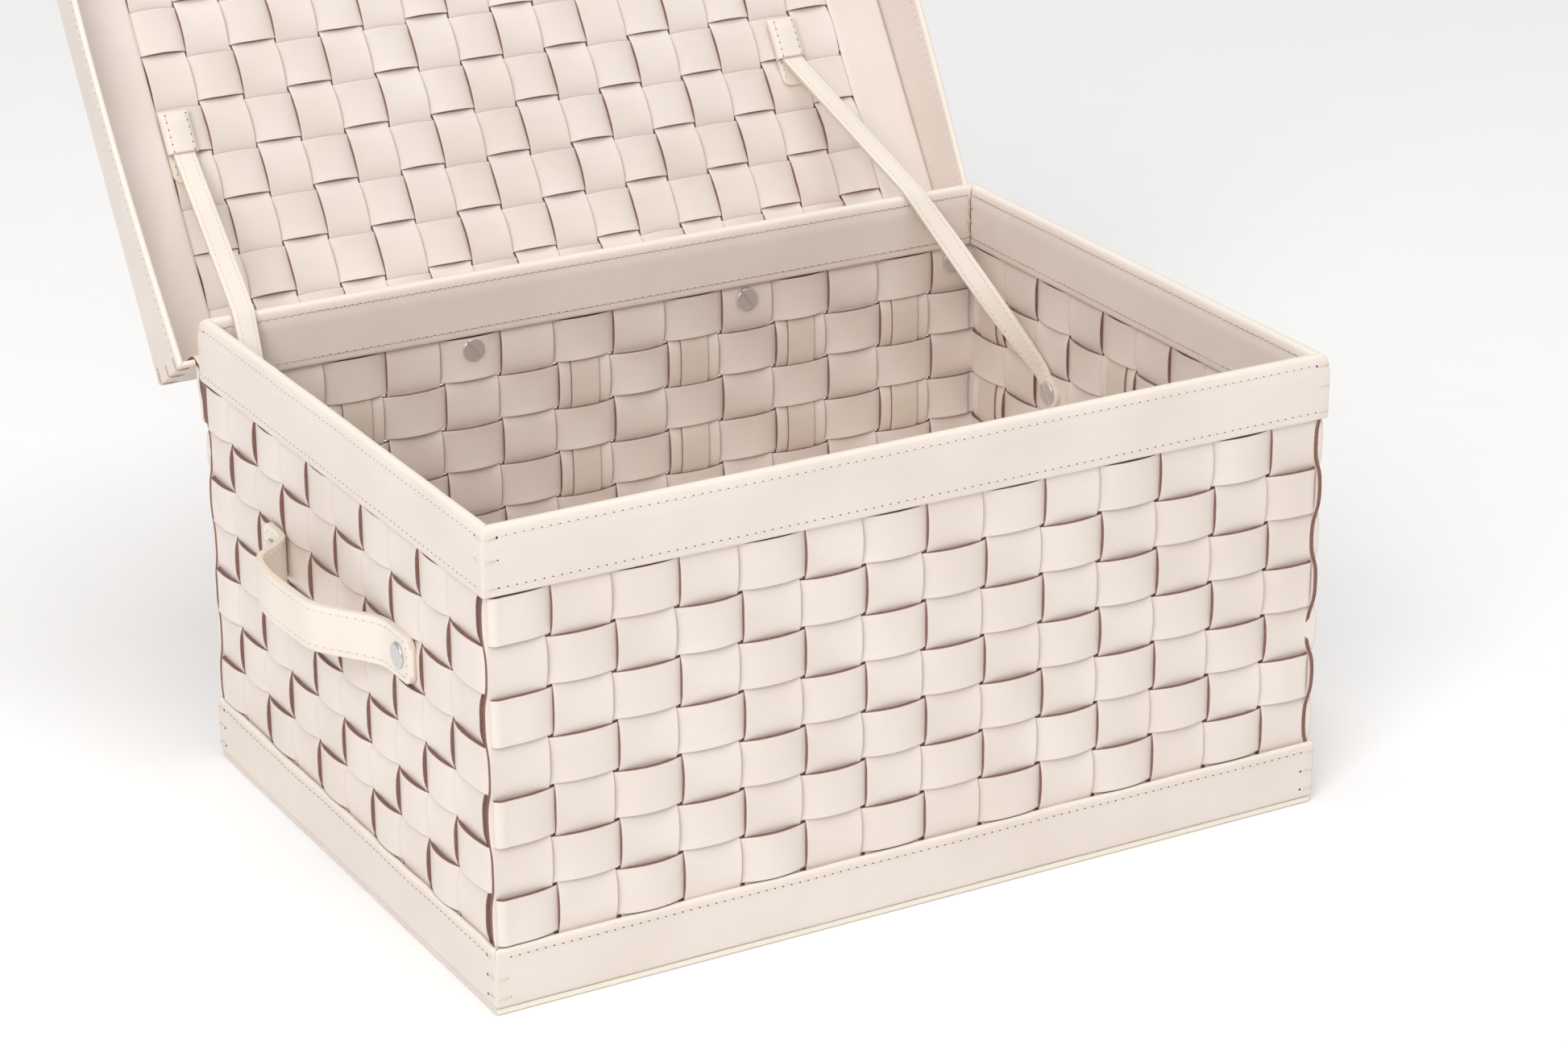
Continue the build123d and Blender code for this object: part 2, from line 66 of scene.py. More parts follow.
SIDES = ("front", "right", "back", "left")
rng = np.random.default_rng(7)

# %% [markdown]
# The sizes that Blender needs are read from the CAD nodes, so that nothing here has to be fitted.
# Only what the CAD leaves out is named here: how strongly a strap bulges, how soft an edge is.

# %% Sizes
rim_low, rim_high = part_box("rim_band_front")
half_length = rim_high.x
half_width = -rim_low.y
box_top = rim_high.z
rim_bottom = rim_low.z
base_low, base_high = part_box("base_band_front")
base_top = base_high.z
rim_thickness = rim_high.y - rim_low.y
middle = rim_thickness / 2
LEATHER = 2.4 * MM       # thickness of a strap
STRAP_WIDTH = 29.6 * MM  # width of an upright
BAND = 3.0 * MM          # one ply of the rim, the base band and the lid's walls
HOOP_BULGE = 1.9 * MM    # how far a hoop swings out where it crosses an upright
UPRIGHT_BULGE = 1.1 * MM
FLARE = 0.75 * MM        # how much further the cut edges lift there
PITCH = 4.4 * MM         # saddle stitch
HOOPS = 7
rows = [[v.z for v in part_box(f"hoop_{r + 1}")] for r in range(HOOPS)]
row_middles = np.array([(low + high) / 2 for low, high in rows])
print("rim to floor:", round(rim_bottom / MM, 1), "hoops at", np.round(row_middles / MM, 1))

# %% [markdown]
# Leather needs three colours of one hide: the pale drum-dyed grain side, the brown of a raw cut edge
# and the thread. A hex colour from a swatch is sRGB, and shaders want linear light, so one function
# turns it.

# %% Colour and node helpers
def linear(code):
    """sRGB hex to linear RGBA: v/12.92 below 0.04045, else ((v + 0.055)/1.055) to the power 2.4."""
    v = np.array([int(code[i:i + 2], 16) for i in (1, 3, 5)]) / 255
    v = np.where(v <= 0.04045, v / 12.92, ((v + 0.055) / 1.055) ** 2.4)
    return (*v.tolist(), 1.0)


def node(tree, kind, inputs=None, **settings):
    """Add a node, give it its settings, and set or link its inputs."""
    made = tree.nodes.new(kind)
    for key, value in settings.items():
        setattr(made, key, value)
    for key, value in (inputs or {}).items():
        if isinstance(value, bpy.types.NodeSocket):
            tree.links.new(value, made.inputs[key])
        else:
            made.inputs[key].default_value = value
    return made


def empty_material(name):
    """A material with nothing in it but its output."""
    material = bpy.data.materials.new(name)
    material.use_nodes = True
    material.node_tree.nodes.clear()
    return material, material.node_tree


print("linear cream:", [round(v, 3) for v in linear("#EADDD2")])

# %% [markdown]
# Vegetable-tanned hide, drum-dyed cream and pressed smooth. The press leaves a fine pebble of about
# 0.9 mm, the hide itself has long soft growth streaks, and its colour drifts over a hand's width.
# Cut edges are not dyed: they stay brown and fibrous. Each mesh carries an attribute that is 1 on
# its cut edge, so a single material shows both.

# %% Leather
def leather(name, grain, shade, edge, edge_dark, roughness=0.52, bump=0.12):
    """Grain-side leather whose raw edge shows where the attribute strap has 1 in its third column."""
    material, tree = empty_material(name)
    place = node(tree, "ShaderNodeTexCoord").outputs["Object"]
    cut = node(tree, "ShaderNodeAttribute", attribute_name="strap").outputs["Vector"]
    parts = node(tree, "ShaderNodeSeparateXYZ", {0: cut})
    drift = node(tree, "ShaderNodeTexNoise", {"Vector": place, "Scale": 1 / 0.060, "Detail": 3.0})
    long_way = node(tree, "ShaderNodeMapping", {"Vector": place, "Scale": (60.0, 60.0, 420.0)})
    streak = node(tree, "ShaderNodeTexNoise", {"Vector": long_way.outputs[0], "Scale": 1.0, "Detail": 4.0})
    pebble = node(tree, "ShaderNodeTexVoronoi", {"Vector": place, "Scale": 1 / 0.0009})
    pore = node(tree, "ShaderNodeTexNoise", {"Vector": place, "Scale": 1 / 0.0025, "Detail": 5.0})
    spread = node(tree, "ShaderNodeMapRange", {"Value": drift.outputs["Fac"], "From Min": 0.3,
                                               "From Max": 0.7})
    face = node(tree, "ShaderNodeMix", {0: spread.outputs[0], "A": linear(grain), "B": linear(shade)},
                data_type="RGBA")
    tint = node(tree, "ShaderNodeMapRange", {"Value": streak.outputs["Fac"], "From Min": 0.35,
                                             "From Max": 0.7, "To Min": 0.0, "To Max": 0.22})
    face = node(tree, "ShaderNodeMix", {0: tint.outputs[0], "A": face.outputs[2], "B": linear(shade)},
                data_type="RGBA")
    fibre_way = node(tree, "ShaderNodeMapping", {"Vector": place, "Scale": (900.0, 900.0, 900.0)})
    fibre = node(tree, "ShaderNodeTexNoise", {"Vector": fibre_way.outputs[0], "Scale": 1.0, "Detail": 4.0})
    raw = node(tree, "ShaderNodeMix", {0: fibre.outputs["Fac"], "A": linear(edge), "B": linear(edge_dark)},
               data_type="RGBA")
    colour = node(tree, "ShaderNodeMix", {0: parts.outputs["Z"], "A": face.outputs[2], "B": raw.outputs[2]},
                  data_type="RGBA")
    rough = node(tree, "ShaderNodeMapRange", {"Value": pore.outputs["Fac"], "To Min": roughness - 0.08,
                                              "To Max": roughness + 0.10})
    rough = node(tree, "ShaderNodeMath", {0: rough.outputs[0], 1: parts.outputs["Z"]}, operation="MAXIMUM")
    height = node(tree, "ShaderNodeMath", {0: pebble.outputs["Distance"], 1: pore.outputs["Fac"]},
                  operation="ADD")
    relief = node(tree, "ShaderNodeBump", {"Height": height.outputs[0], "Strength": bump,
                                           "Distance": 0.12 * MM})
    shader = node(tree, "ShaderNodeBsdfPrincipled",
                  {"Base Color": colour.outputs[2], "Roughness": rough.outputs[0],
                   "Normal": relief.outputs[0], "Sheen Weight": 0.04, "Sheen Roughness": 0.5,
                   "Specular IOR Level": 0.35})
    node(tree, "ShaderNodeOutputMaterial", {"Surface": shader.outputs[0]})
    return material


strap_leather = leather("drum_dyed_strap_leather", "#EADFD7", "#E2D5CC", "#9A7468", "#5F443D")
band_leather = leather("pressed_band_leather", "#EADFD7", "#E2D6CD", "#F6EFE2", "#EDE3D4")
trim_leather = leather("turned_trim_leather", "#EFE6DB", "#E8DDD1", "#E6DACC", "#D6C6B6", 0.48)
lining_leather = leather("split_lining_leather", "#E3D6CA", "#D8CABC", "#A98A7C", "#7A5C52", 0.62)
print("made", strap_leather.name, band_leather.name, trim_leather.name, lining_leather.name)

# %% [markdown]
# Waxed linen thread, plied from two strands: a little darker than the hide, with a fine twist. The
# awl holes beside it are painted almost black: the leather inside them is raw, and the rest of the dark
# is painted shade for the unlit hole. The rivets are nickel-plated brass caps with a satin polish, the
# screws plain turned steel.

# %% Thread, awl holes and metal
def plain(name, low, high, grain_mm, roughness, metallic=0.0, bump=0.1, stretch=(1, 1, 1)):
    """Two close tones mixed by a noise of one real size, with the same noise as relief."""
    material, tree = empty_material(name)
    place = node(tree, "ShaderNodeTexCoord").outputs["Object"]
    scale = [s / (grain_mm * MM) for s in stretch]
    way = node(tree, "ShaderNodeMapping", {"Vector": place, "Scale": scale})
    noise = node(tree, "ShaderNodeTexNoise", {"Vector": way.outputs[0], "Scale": 1.0, "Detail": 4.0})
    colour = node(tree, "ShaderNodeMix", {0: noise.outputs["Fac"], "A": linear(low), "B": linear(high)},
                  data_type="RGBA")
    relief = node(tree, "ShaderNodeBump", {"Height": noise.outputs["Fac"], "Strength": bump,
                                           "Distance": 0.05 * MM})
    rough = node(tree, "ShaderNodeMapRange", {"Value": noise.outputs["Fac"], "To Min": roughness * 0.85,
                                              "To Max": min(1.0, roughness * 1.2)})
    shader = node(tree, "ShaderNodeBsdfPrincipled",
                  {"Base Color": colour.outputs[2], "Roughness": rough.outputs[0], "Metallic": metallic,
                   "Normal": relief.outputs[0]})
    node(tree, "ShaderNodeOutputMaterial", {"Surface": shader.outputs[0]})
    return material


thread = plain("waxed_linen_thread", "#DFD4C5", "#F0E8DB", 0.4, 0.6, bump=0.4)
# A darker rose-brown copy of the thread. Inside the rim its darkness is painted shade, standing in for the
# same pale linen in the walls' shadow.
darker_thread = plain("waxed_linen_thread_darker", "#AE9385", "#CFB9A9", 0.4, 0.6, bump=0.4)
# Painted shade: the near-black of the awl holes goes past the raw leather's brown and stands in for the
# unlit hole.
awl_hole = plain("awl_hole_raw_and_painted_shade", "#4A3630", "#2E211E", 0.5, 0.95)
cap_metal = plain("satin_nickel_plated_brass", "#C9C6C6", "#DAD8D8", 0.6, 0.28, 1.0, 0.05, (1, 1, 12))
screw_metal = plain("turned_steel", "#D2D0CE", "#E8E6E4", 0.5, 0.38, 0.8, 0.08, (12, 1, 1))
fibreboard = plain("pressed_fibreboard", "#8A6F57", "#6F5742", 1.5, 0.9, bump=0.3)
print("made", thread.name, awl_hole.name, cap_metal.name, screw_metal.name)

# %% [markdown]
# Every shape below is made of arrays that are stretched to one size and stacked into points, and many
# shapes run along a line. A few small helpers say that once.

# %% Helpers for points and lines
X, Y, UP = np.eye(3)


def stack(*parts):
    """Arrays broadcast to one shape and stacked as the columns of points."""
    return np.stack(np.broadcast_arrays(*parts), -1)


def unit(v):
    """Vectors divided by their lengths."""
    return v / np.linalg.norm(v, axis=-1, keepdims=True)


def distances(line):
    """Distance of each point of a polyline from its start: the running sum of its segments."""
    return np.concatenate([[0], np.cumsum(np.linalg.norm(np.diff(line, axis=0), axis=1))])


def read_at(at, reach, values):
    """Columns of values, known at the distances reach, interpolated at the distances at."""
    return np.stack([np.interp(at, reach, column) for column in values.T], 1)


print("a line by way of (3, 4) to (3, 0) is", distances(np.array([(0, 0), (3, 4), (3, 0)]))[-1], "long")

# %% [markdown]
# A strap, a band and a stay are all the same kind of thing: a thin closed outline carried along a
# line. The outline is listed as one skin and then the other skin backwards, so the two ends can be
# closed with a strip of quads that pairs the skins. Everything is whole arrays.

# %% Shells
def shell(grid, marks):
    """Closed skin over a grid of points (stations, outline, 3): quads between neighbours, and at both
    ends a strip of quads from each outline point j to its partner, outline - 1 - j."""
    m, k, _ = grid.shape
    index = np.arange(m * k).reshape(m, k)
    turned = np.roll(index, -1, 1)
    walls = np.stack([index[:-1], turned[:-1], turned[1:], index[1:]], -1).reshape(-1, 4)
    j = np.arange(k // 2 - 1)
    ends = []
    for line, flip in ((index[0], False), (index[-1], True)):
        strip = np.stack([line[j], line[k - 1 - j], line[k - 2 - j], line[j + 1]], -1)
        ends.append(strip[:, ::-1] if flip else strip)
    return grid.reshape(-1, 3), np.concatenate([walls, *ends]), marks.reshape(-1, 3)


def strap_shell(grid, marks):
    """A shell whose outline is taken the other way round, so that its faces point outwards."""
    return shell(grid[:, ::-1], marks[:, ::-1])


def ring_shell(grid, marks):
    """The same for a loop: the last station joins the first."""
    m, k, _ = grid.shape
    index = np.arange(m * k).reshape(m, k)
    turned = np.roll(index, -1, 1)
    nxt, corner = np.roll(index, -1, 0), np.roll(turned, -1, 0)
    quads = np.stack([index, turned, corner, nxt], -1).reshape(-1, 4)
    return grid.reshape(-1, 3), quads, marks.reshape(-1, 3)


def build(name, shells, materials, body="box", replaces=(), which=None):
    """One mesh from several shells; which gives each shell its material number."""
    counts = np.cumsum([0] + [len(s[0]) for s in shells])
    points = np.concatenate([s[0] for s in shells])
    quads = np.concatenate([s[1] + start for s, start in zip(shells, counts)])
    marks = np.concatenate([s[2] for s in shells])
    mesh = bpy.data.meshes.new(name)
    mesh.vertices.add(len(points))
    mesh.vertices.foreach_set("co", points.astype(np.float32).ravel())
    mesh.loops.add(quads.size)
    mesh.loops.foreach_set("vertex_index", quads.astype(np.int32).ravel())
    mesh.polygons.add(len(quads))
    mesh.polygons.foreach_set("loop_start", np.arange(0, quads.size, 4, dtype=np.int32))
    mesh.polygons.foreach_set("use_smooth", np.ones(len(quads), bool))
    if which is not None:
        numbers = np.concatenate([np.full(len(s[1]), w) for s, w in zip(shells, which)])
        mesh.polygons.foreach_set("material_index", numbers.astype(np.int32))
    mesh.attributes.new("strap", "FLOAT_VECTOR", "POINT").data.foreach_set(
        "vector", marks.astype(np.float32).ravel())
    mesh.update(calc_edges=True)
    mesh.validate()
    for material in materials:
        mesh.materials.append(material)
    piece = bpy.data.objects.new(name, mesh)
    bpy.context.collection.objects.link(piece)
    if body:
        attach(piece, body)
    if replaces:
        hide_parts(*replaces)
    print(name, len(mesh.polygons), "faces")
    return piece


# %% [markdown]
# A cut strap has a crisp grain edge with a hair of rounding and a flat raw side. The outline needs
# only a few points: two on the raw side, two on the rounding, and a few across the face so that the
# face can cup.

# %% The outline of a strap
def strap_outline(width, thickness, soft=0.3 * MM):
    """(across, height, cut) of a strap's closed outline: the outer skin from left to right, then the
    inner skin back. Distances from the edge are 0, 0, a third of soft, soft and five times soft."""
    edge = np.array([0, 0, soft / 3, soft, 5 * soft])
    high = np.array([0.3, 0.72, 0.93, 1.0, 1.0])
    raw = np.array([1.0, 1.0, 0.8, 0.0, 0.0])
    inner = np.array([-0.5, 0.0, 0.5]) * width / 2
    across = np.concatenate([edge - width / 2, inner, width / 2 - edge[::-1]])
    height = np.concatenate([high, np.ones(3), high[::-1]]) * thickness / 2
    cut = np.concatenate([raw, np.zeros(3), raw[::-1]])
    return (np.concatenate([across, across[::-1]]), np.concatenate([height, -height[::-1]]),
            np.concatenate([cut, cut[::-1]]))


outline_across = strap_outline(STRAP_WIDTH, LEATHER)[0]
print("outline of", len(outline_across), "points,", round(float(np.ptp(outline_across)) / MM, 1), "mm wide")

# %% [markdown]
# Plain weave swings each strap out and in. A sine would look too limp for hide 2.4 mm thick, so the
# sine is flattened with tanh: the strap stays out over the width of its neighbour and dives in the
# last few millimetres. Where it is out, its long edges lift a little more than its middle, and that
# lift is what shows the cut edge as a lens-shaped brown line.

# %% The swing of the weave
def swing(phase, firm=1.5):
    """+1 outside, -1 inside: tanh(firm·cos(pi·phase)) / tanh(firm)."""
    return np.tanh(firm * np.cos(np.pi * phase)) / np.tanh(firm)


def edge_lift(across, width):
    """0 in the middle of a strap and 1 at its cut edges: (2·across/width) to the power 4."""
    return np.abs(2 * across / width) ** 4


print("swing at 0, 1/4, 1/2, 1:", np.round(swing(np.array([0, 0.25, 0.5, 1])), 2))

# %% [markdown]
# Walking round the box, each wall is a distance s along it and a distance n out of its outer face.
# The uprights are numbered 0 to 47 on that walk: where an upright's number and the hoop's row add up
# to an odd number, the upright lies outside.

# %% Walls
ALONG = {"front": X, "right": Y, "back": -X, "left": -Y}
OUT = {"front": -Y, "right": X, "back": Y, "left": -X}
COUNT = {"front": 14, "right": 10, "back": 14, "left": 10}
FIRST = {"front": 0, "right": 14, "back": 24, "left": 38}
START = {"front": 1.6 * MM, "right": 1.5 * MM, "back": 1.6 * MM, "left": 1.5 * MM}
END = {"front": 1.6 * MM, "right": 11 * MM, "back": 1.6 * MM, "left": 11 * MM}


BOX_SIZE = (half_length, half_width)


def half_span(side, size=BOX_SIZE):
    """(half the wall's length, its distance from the middle), from half the length and half the width."""
    return size if side in ("front", "back") else size[::-1]


def wall_point(side, s, n, z, size=BOX_SIZE):
    """Corner + s·along + n·out + z·up, for arrays s, n, z of one shape."""
    half, far = half_span(side, size)
    s, n, z = np.broadcast_arrays(s, n, z)
    return (s - half)[..., None] * ALONG[side] + (n + far)[..., None] * OUT[side] + z[..., None] * UP


def upright_starts(side):
    """Left edge of each upright along its wall, evenly spread between the margins."""
    half, _ = half_span(side)
    return np.linspace(START[side], 2 * half - END[side] - STRAP_WIDTH, COUNT[side])


def weave_row(z):
    """The row coordinate at height z: whole numbers at the hoops' middles, carried on evenly past the
    first and the last."""
    pitch = row_middles[0] - row_middles[1]
    row = np.interp(z, row_middles[::-1], np.arange(HOOPS)[::-1])
    row = np.where(z > row_middles[0], -(z - row_middles[0]) / pitch, row)
    return np.where(z < row_middles[-1], HOOPS - 1 + (row_middles[-1] - z) / pitch, row)


print("gap between uprights, mm:", round(float(np.diff(upright_starts("front"))[0] - STRAP_WIDTH) / MM, 2))

# %% [markdown]
# The uprights of one wall are one mesh. Their row coordinate is 0 at the top hoop's middle and 6 at
# the bottom one's; above and below the weave they run straight into the bands.

# %% Uprights
def uprights(side):
    """n = middle + swing(row + number + 1)·(bulge + flare·lift), plus half the thickness."""
    shells = []
    z = np.concatenate([[4 * MM], np.linspace(base_top - 6 * MM, rim_bottom + 3 * MM, 76),
                        [box_top - 4 * MM]])
    row = weave_row(z)
    woven = (row > -0.5) & (row < HOOPS - 0.5)
    across, height, cut = strap_outline(STRAP_WIDTH, LEATHER)
    lift = edge_lift(across, STRAP_WIDTH)
    for k, start in enumerate(upright_starts(side)):
        rough = np.interp(row, np.arange(-1, HOOPS + 1), rng.uniform(0.85, 1.2, HOOPS + 2))
        shift = np.interp(row, np.arange(-1, HOOPS + 1), rng.uniform(-0.3, 0.3, HOOPS + 2)) * MM
        wave = np.where(woven, swing(row + FIRST[side] + k + 1), 0) * rough
        n = -middle + wave[:, None] * (UPRIGHT_BULGE + FLARE * lift) + height
        s = start + STRAP_WIDTH / 2 + across + shift[:, None]
        shells.append(strap_shell(wall_point(side, s, n, z[:, None]), stack(z[:, None], across, cut)))
    return shells


for side in SIDES:
    build("woven_uprights_" + side, uprights(side), [strap_leather],
          replaces=["uprights_" + side])

# %% [markdown]
# A hoop is one strap that goes right round. Its line is a rectangle with rounded corners, and the
# phase of the weave is tied to the uprights in one coordinate p along the whole way round: whole
# numbers at their middles and halves in the middle of every gap, those at the corners too. Where a
# hoop is outside at a corner it cannot be pulled tight, so it stands out a little there.

# %% Hoops
CORNER = 4.0 * MM        # radius of the hoops' middle line
SWELL = 2.2 * MM         # how far a hoop stands out at a corner
lengths = [2 * half_span(side)[0] for side in SIDES]
begins = np.concatenate([[0], np.cumsum(lengths)])
left_edges = np.concatenate([upright_starts(side) + begin for side, begin in zip(SIDES, begins)])
right_edges = left_edges + STRAP_WIDTH
gap_middles = (right_edges + np.append(left_edges[1:], left_edges[0] + begins[-1])) / 2
knots = np.stack([left_edges + STRAP_WIDTH / 2, gap_middles], 1).ravel()
knots = np.concatenate([[gap_middles[-1] - begins[-1]], knots])
phases = np.arange(len(knots)) / 2 - 0.5


def hoop(r):
    """Point = line + normal·(n + height) + up·across. Near a corner the line follows an arc: with e
    from -R to R past the arc's start, the normal turns by 45 degrees · e/R. At a corner the strap is
    moved out by swell · wave · exp(-(distance/7 mm)^2)."""
    low, high = rows[r]
    across, height, cut = strap_outline(high - low, LEATHER)
    lift = edge_lift(across, high - low)
    rough = rng.uniform(0.85, 1.2, len(left_edges) + 1)
    pieces, marks = [], []
    for side, begin, length in zip(SIDES, begins, lengths):
        s = np.concatenate([np.linspace(0, 4 * CORNER, 16, endpoint=False),
                            np.linspace(4 * CORNER, length - 4 * CORNER, 9 * COUNT[side]),
                            np.linspace(length - 4 * CORNER, length, 17)[1:-1]])
        phase = np.interp(begin + s, knots, phases)
        wave = swing(phase + r, 1.0) * np.interp(phase, np.arange(len(rough)), rough)
        swell = SWELL * np.clip(wave, 0, 1) * np.exp(-(np.minimum(s, length - s) / (7 * MM)) ** 2)
        n = wave[:, None] * (HOOP_BULGE + FLARE * lift) + swell[:, None] + height
        inner = CORNER + middle
        w = np.clip(s, inner, length - inner)
        angle = (s - w) / inner * math.pi / 4
        straight = wall_point(side, w[:, None], -inner + 0 * n, low + (high - low) / 2 + across)
        normal = np.cos(angle)[:, None] * OUT[side] + np.sin(angle)[:, None] * ALONG[side]
        pieces.append(straight + normal[:, None] * (CORNER + n)[..., None])
        marks.append(stack(s[:, None], across, cut))
    return ring_shell(np.concatenate(pieces), np.concatenate(marks))


for r in range(HOOPS):
    build(f"woven_hoop_{r + 1}", [hoop(r)], [strap_leather], replaces=[f"hoop_{r + 1}"])

# %% [markdown]
# The rim is a band of leather folded over the top of the wall and sewn through: the seam pinches it,
# so it is thinner at the top than below. The outline is worked out from a centre line with a skin on
# each side; the four bands meet at mitred corners with a small rounding.

# %% Bands
def skins(line, thickness):
    """Outline of a ply: its centre line moved half the thickness to each side. The last points at each
    end are drawn in, so that the end is rounded."""
    step = unit(np.gradient(line, axis=0))
    side = np.stack([-step[:, 1], step[:, 0]], 1)
    half = np.full(len(line), thickness / 2)
    half[[0, -1]] *= 0.35
    half[[1, -2]] *= 0.85
    return np.concatenate([line + side * half[:, None], (line - side * half[:, None])[::-1]])


def resample(line, spacing, tips):
    """Points evenly spaced along a polyline, with two extra ones close to each rounded tip."""
    line = np.asarray(line, float)
    reach = distances(line)
    at = np.linspace(0, reach[-1], max(2, int(round(reach[-1] / spacing)) + 1))
    at = np.concatenate([[0, tips * 0.35], at[(at > tips) & (at < reach[-1] - tips)],
                         [reach[-1] - tips * 0.35, reach[-1]]])
    return read_at(at, reach, line)


ARC_START, ARC_STEP = 0.2929, 0.7071     # 1 - sqrt(1/2) and sqrt(1/2): an eighth of a circle


def band(side, outline, cut, thickness, size=BOX_SIZE, corner=1.2 * MM, bow=None, mitre=(1, 1)):
    """Outline of (depth from the outer face, height) carried along one side and mitred: a point at
    depth d starts at s = d and ends at length - d, or d times mitre. The outer corner is rounded: there
    the depth grows by r - sqrt(r^2 - (r - s)^2). bow(share, height) moves it outwards."""
    length = 2 * half_span(side, size)[0]
    tip = ARC_START * corner + np.linspace(0, corner, 5)[:-1] * ARC_STEP
    s = np.concatenate([tip, np.linspace(corner, length - corner, 90), (length - tip)[::-1]])
    near = np.clip(corner - np.minimum(s, length - s), 0, None)
    drop = corner - np.sqrt(np.clip(corner ** 2 - near ** 2, 0, None))
    depth, z = outline[:, 0], outline[:, 1]
    n = -depth - drop[:, None] * (1 - np.clip(depth / thickness, 0, 1))
    along = s[:, None] + depth * (mitre[0] - sum(mitre) * s[:, None] / length)
    n = n + (bow(s / length, z) if bow else 0)
    return shell(wall_point(side, along, n, z, size), stack(s[:, None], z, cut))


PINCH = 1.4 * MM         # how far the seam draws each skin in near the top
outer_fold = [(BAND / 2, rim_bottom), (BAND / 2, box_top - 9 * MM),
              (BAND / 2 + PINCH * 0.55, box_top - 4.5 * MM), (BAND / 2 + PINCH, box_top - 1.6 * MM)]
inner_fold = [(rim_thickness - depth, z) for depth, z in outer_fold[::-1]]
fold = outer_fold + [(middle, box_top - BAND / 2 + 0.1 * MM)] + inner_fold
rim_outline = skins(resample(fold, 1.5 * MM, 1.0 * MM), BAND)
rim_mark = (rim_outline[:, 1] > box_top - 1.1 * MM) * 0.8


def wavy(amount, seed, turns=9):
    """A slow hand-made unevenness along a band: a sum of three sines, as a function of share and z."""
    shifts = np.random.default_rng(seed).uniform(0, 6.28, 3)

    def bow(share, z):
        """amount times the sum of weight·sin(rate·turns·share + shift), the same at every height."""
        waves = [weight * np.sin(rate * turns * share + shift)
                 for weight, rate, shift in zip((1, 0.6, 0.4), (1, 2.3, 5.1), shifts)]
        return (amount * sum(waves))[:, None] + 0 * z
    return bow


rim_bow = {side: wavy(0.12 * MM, i) for i, side in enumerate(SIDES)}
for side in SIDES:
    build("folded_rim_" + side, [band(side, rim_outline, rim_mark, rim_thickness, bow=rim_bow[side])],
          [band_leather], replaces=["rim_band_" + side])

# %% [markdown]
# The base is a single band outside and a thinner lining inside, with a stiff board between the sole
# and the floor lining. The top of the band isn't held down, so it stands a little proud and wavers.

# %% Base bands, linings and sole
base_outline = skins(resample([(BAND / 2, base_low.z), (BAND / 2, base_top)], 2 * MM, 1.2 * MM), BAND)
base_mark = (base_outline[:, 1] > base_top - 1.0 * MM) * 0.8
lining_low, lining_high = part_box("base_lining_front")
LINING = 2.0 * MM
lining_line = [(LINING / 2, lining_low.z), (LINING / 2, lining_high.z)]
lining_outline = skins(resample(lining_line, 3 * MM, MM), LINING)
no_cut = np.zeros(len(lining_outline))


def lip(i):
    """The top of a base band stands a little proud of the wall, and wavers: the share of its height
    to the power 4."""
    wobble = wavy(0.18 * MM, 20 + i, 14)
    return lambda share, z: wobble(share, z) * 0.6 + (0.4 * MM + wobble(share, z)) * np.clip(
        (z - base_low.z) / (base_top - base_low.z), 0, 1) ** 4


base_bow = {side: lip(i) for i, side in enumerate(SIDES)}
for side in SIDES:
    build("base_band_sewn_" + side, [band(side, base_outline, base_mark, BAND, bow=base_bow[side])],
          [band_leather], replaces=["base_band_" + side])
    build("base_lining_sewn_" + side, [band(side, lining_outline, no_cut, LINING,
                                            (lining_high.x, -lining_low.y), corner=0.5 * MM)],
          [lining_leather], replaces=["base_lining_" + side])


def slab(low, high, soft):
    """A flat sheet: an outline across its width, whose half thickness falls to a fifth within soft of
    the long edges, carried along its length and halved at both ends."""
    x = np.linspace(low.x, high.x, 60)
    x[1], x[-2] = low.x + soft, high.x - soft
    share = np.ones_like(x)
    share[[0, -1]] = 0.5
    edge = np.array([low.y, low.y, low.y + soft * 0.3, low.y + soft])
    y = np.concatenate([edge, [0.0], low.y + high.y - edge[::-1]])
    rise = np.array([0.2, 0.6, 0.9, 1.0, 1.0, 1.0, 0.9, 0.6, 0.2])
    y, rise = np.concatenate([y, y[::-1]]), np.concatenate([rise, -rise[::-1]])
    z = (low.z + high.z) / 2 + (high.z - low.z) / 2 * rise * share[:, None]
    return shell(stack(x[:, None], y, z), stack(x[:, None], y, np.abs(rise) < 0.95))


build("sole_sheet", [slab(*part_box("sole_panel"), 0.8 * MM)], [band_leather],
      replaces=["sole_panel"])
build("floor_lining_sheet", [slab(*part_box("floor_lining"), 0.5 * MM)], [lining_leather],
      replaces=["floor_lining"])

# %% [markdown]
# Saddle stitch: two needles through each hole. Seen from one side it is a row of short, slightly
# slanting dashes that dive into their holes. Each dash is a bent tube of 5 rings of 6 points and each
# hole a flat double cone, all made at once by broadcasting over the stitches.

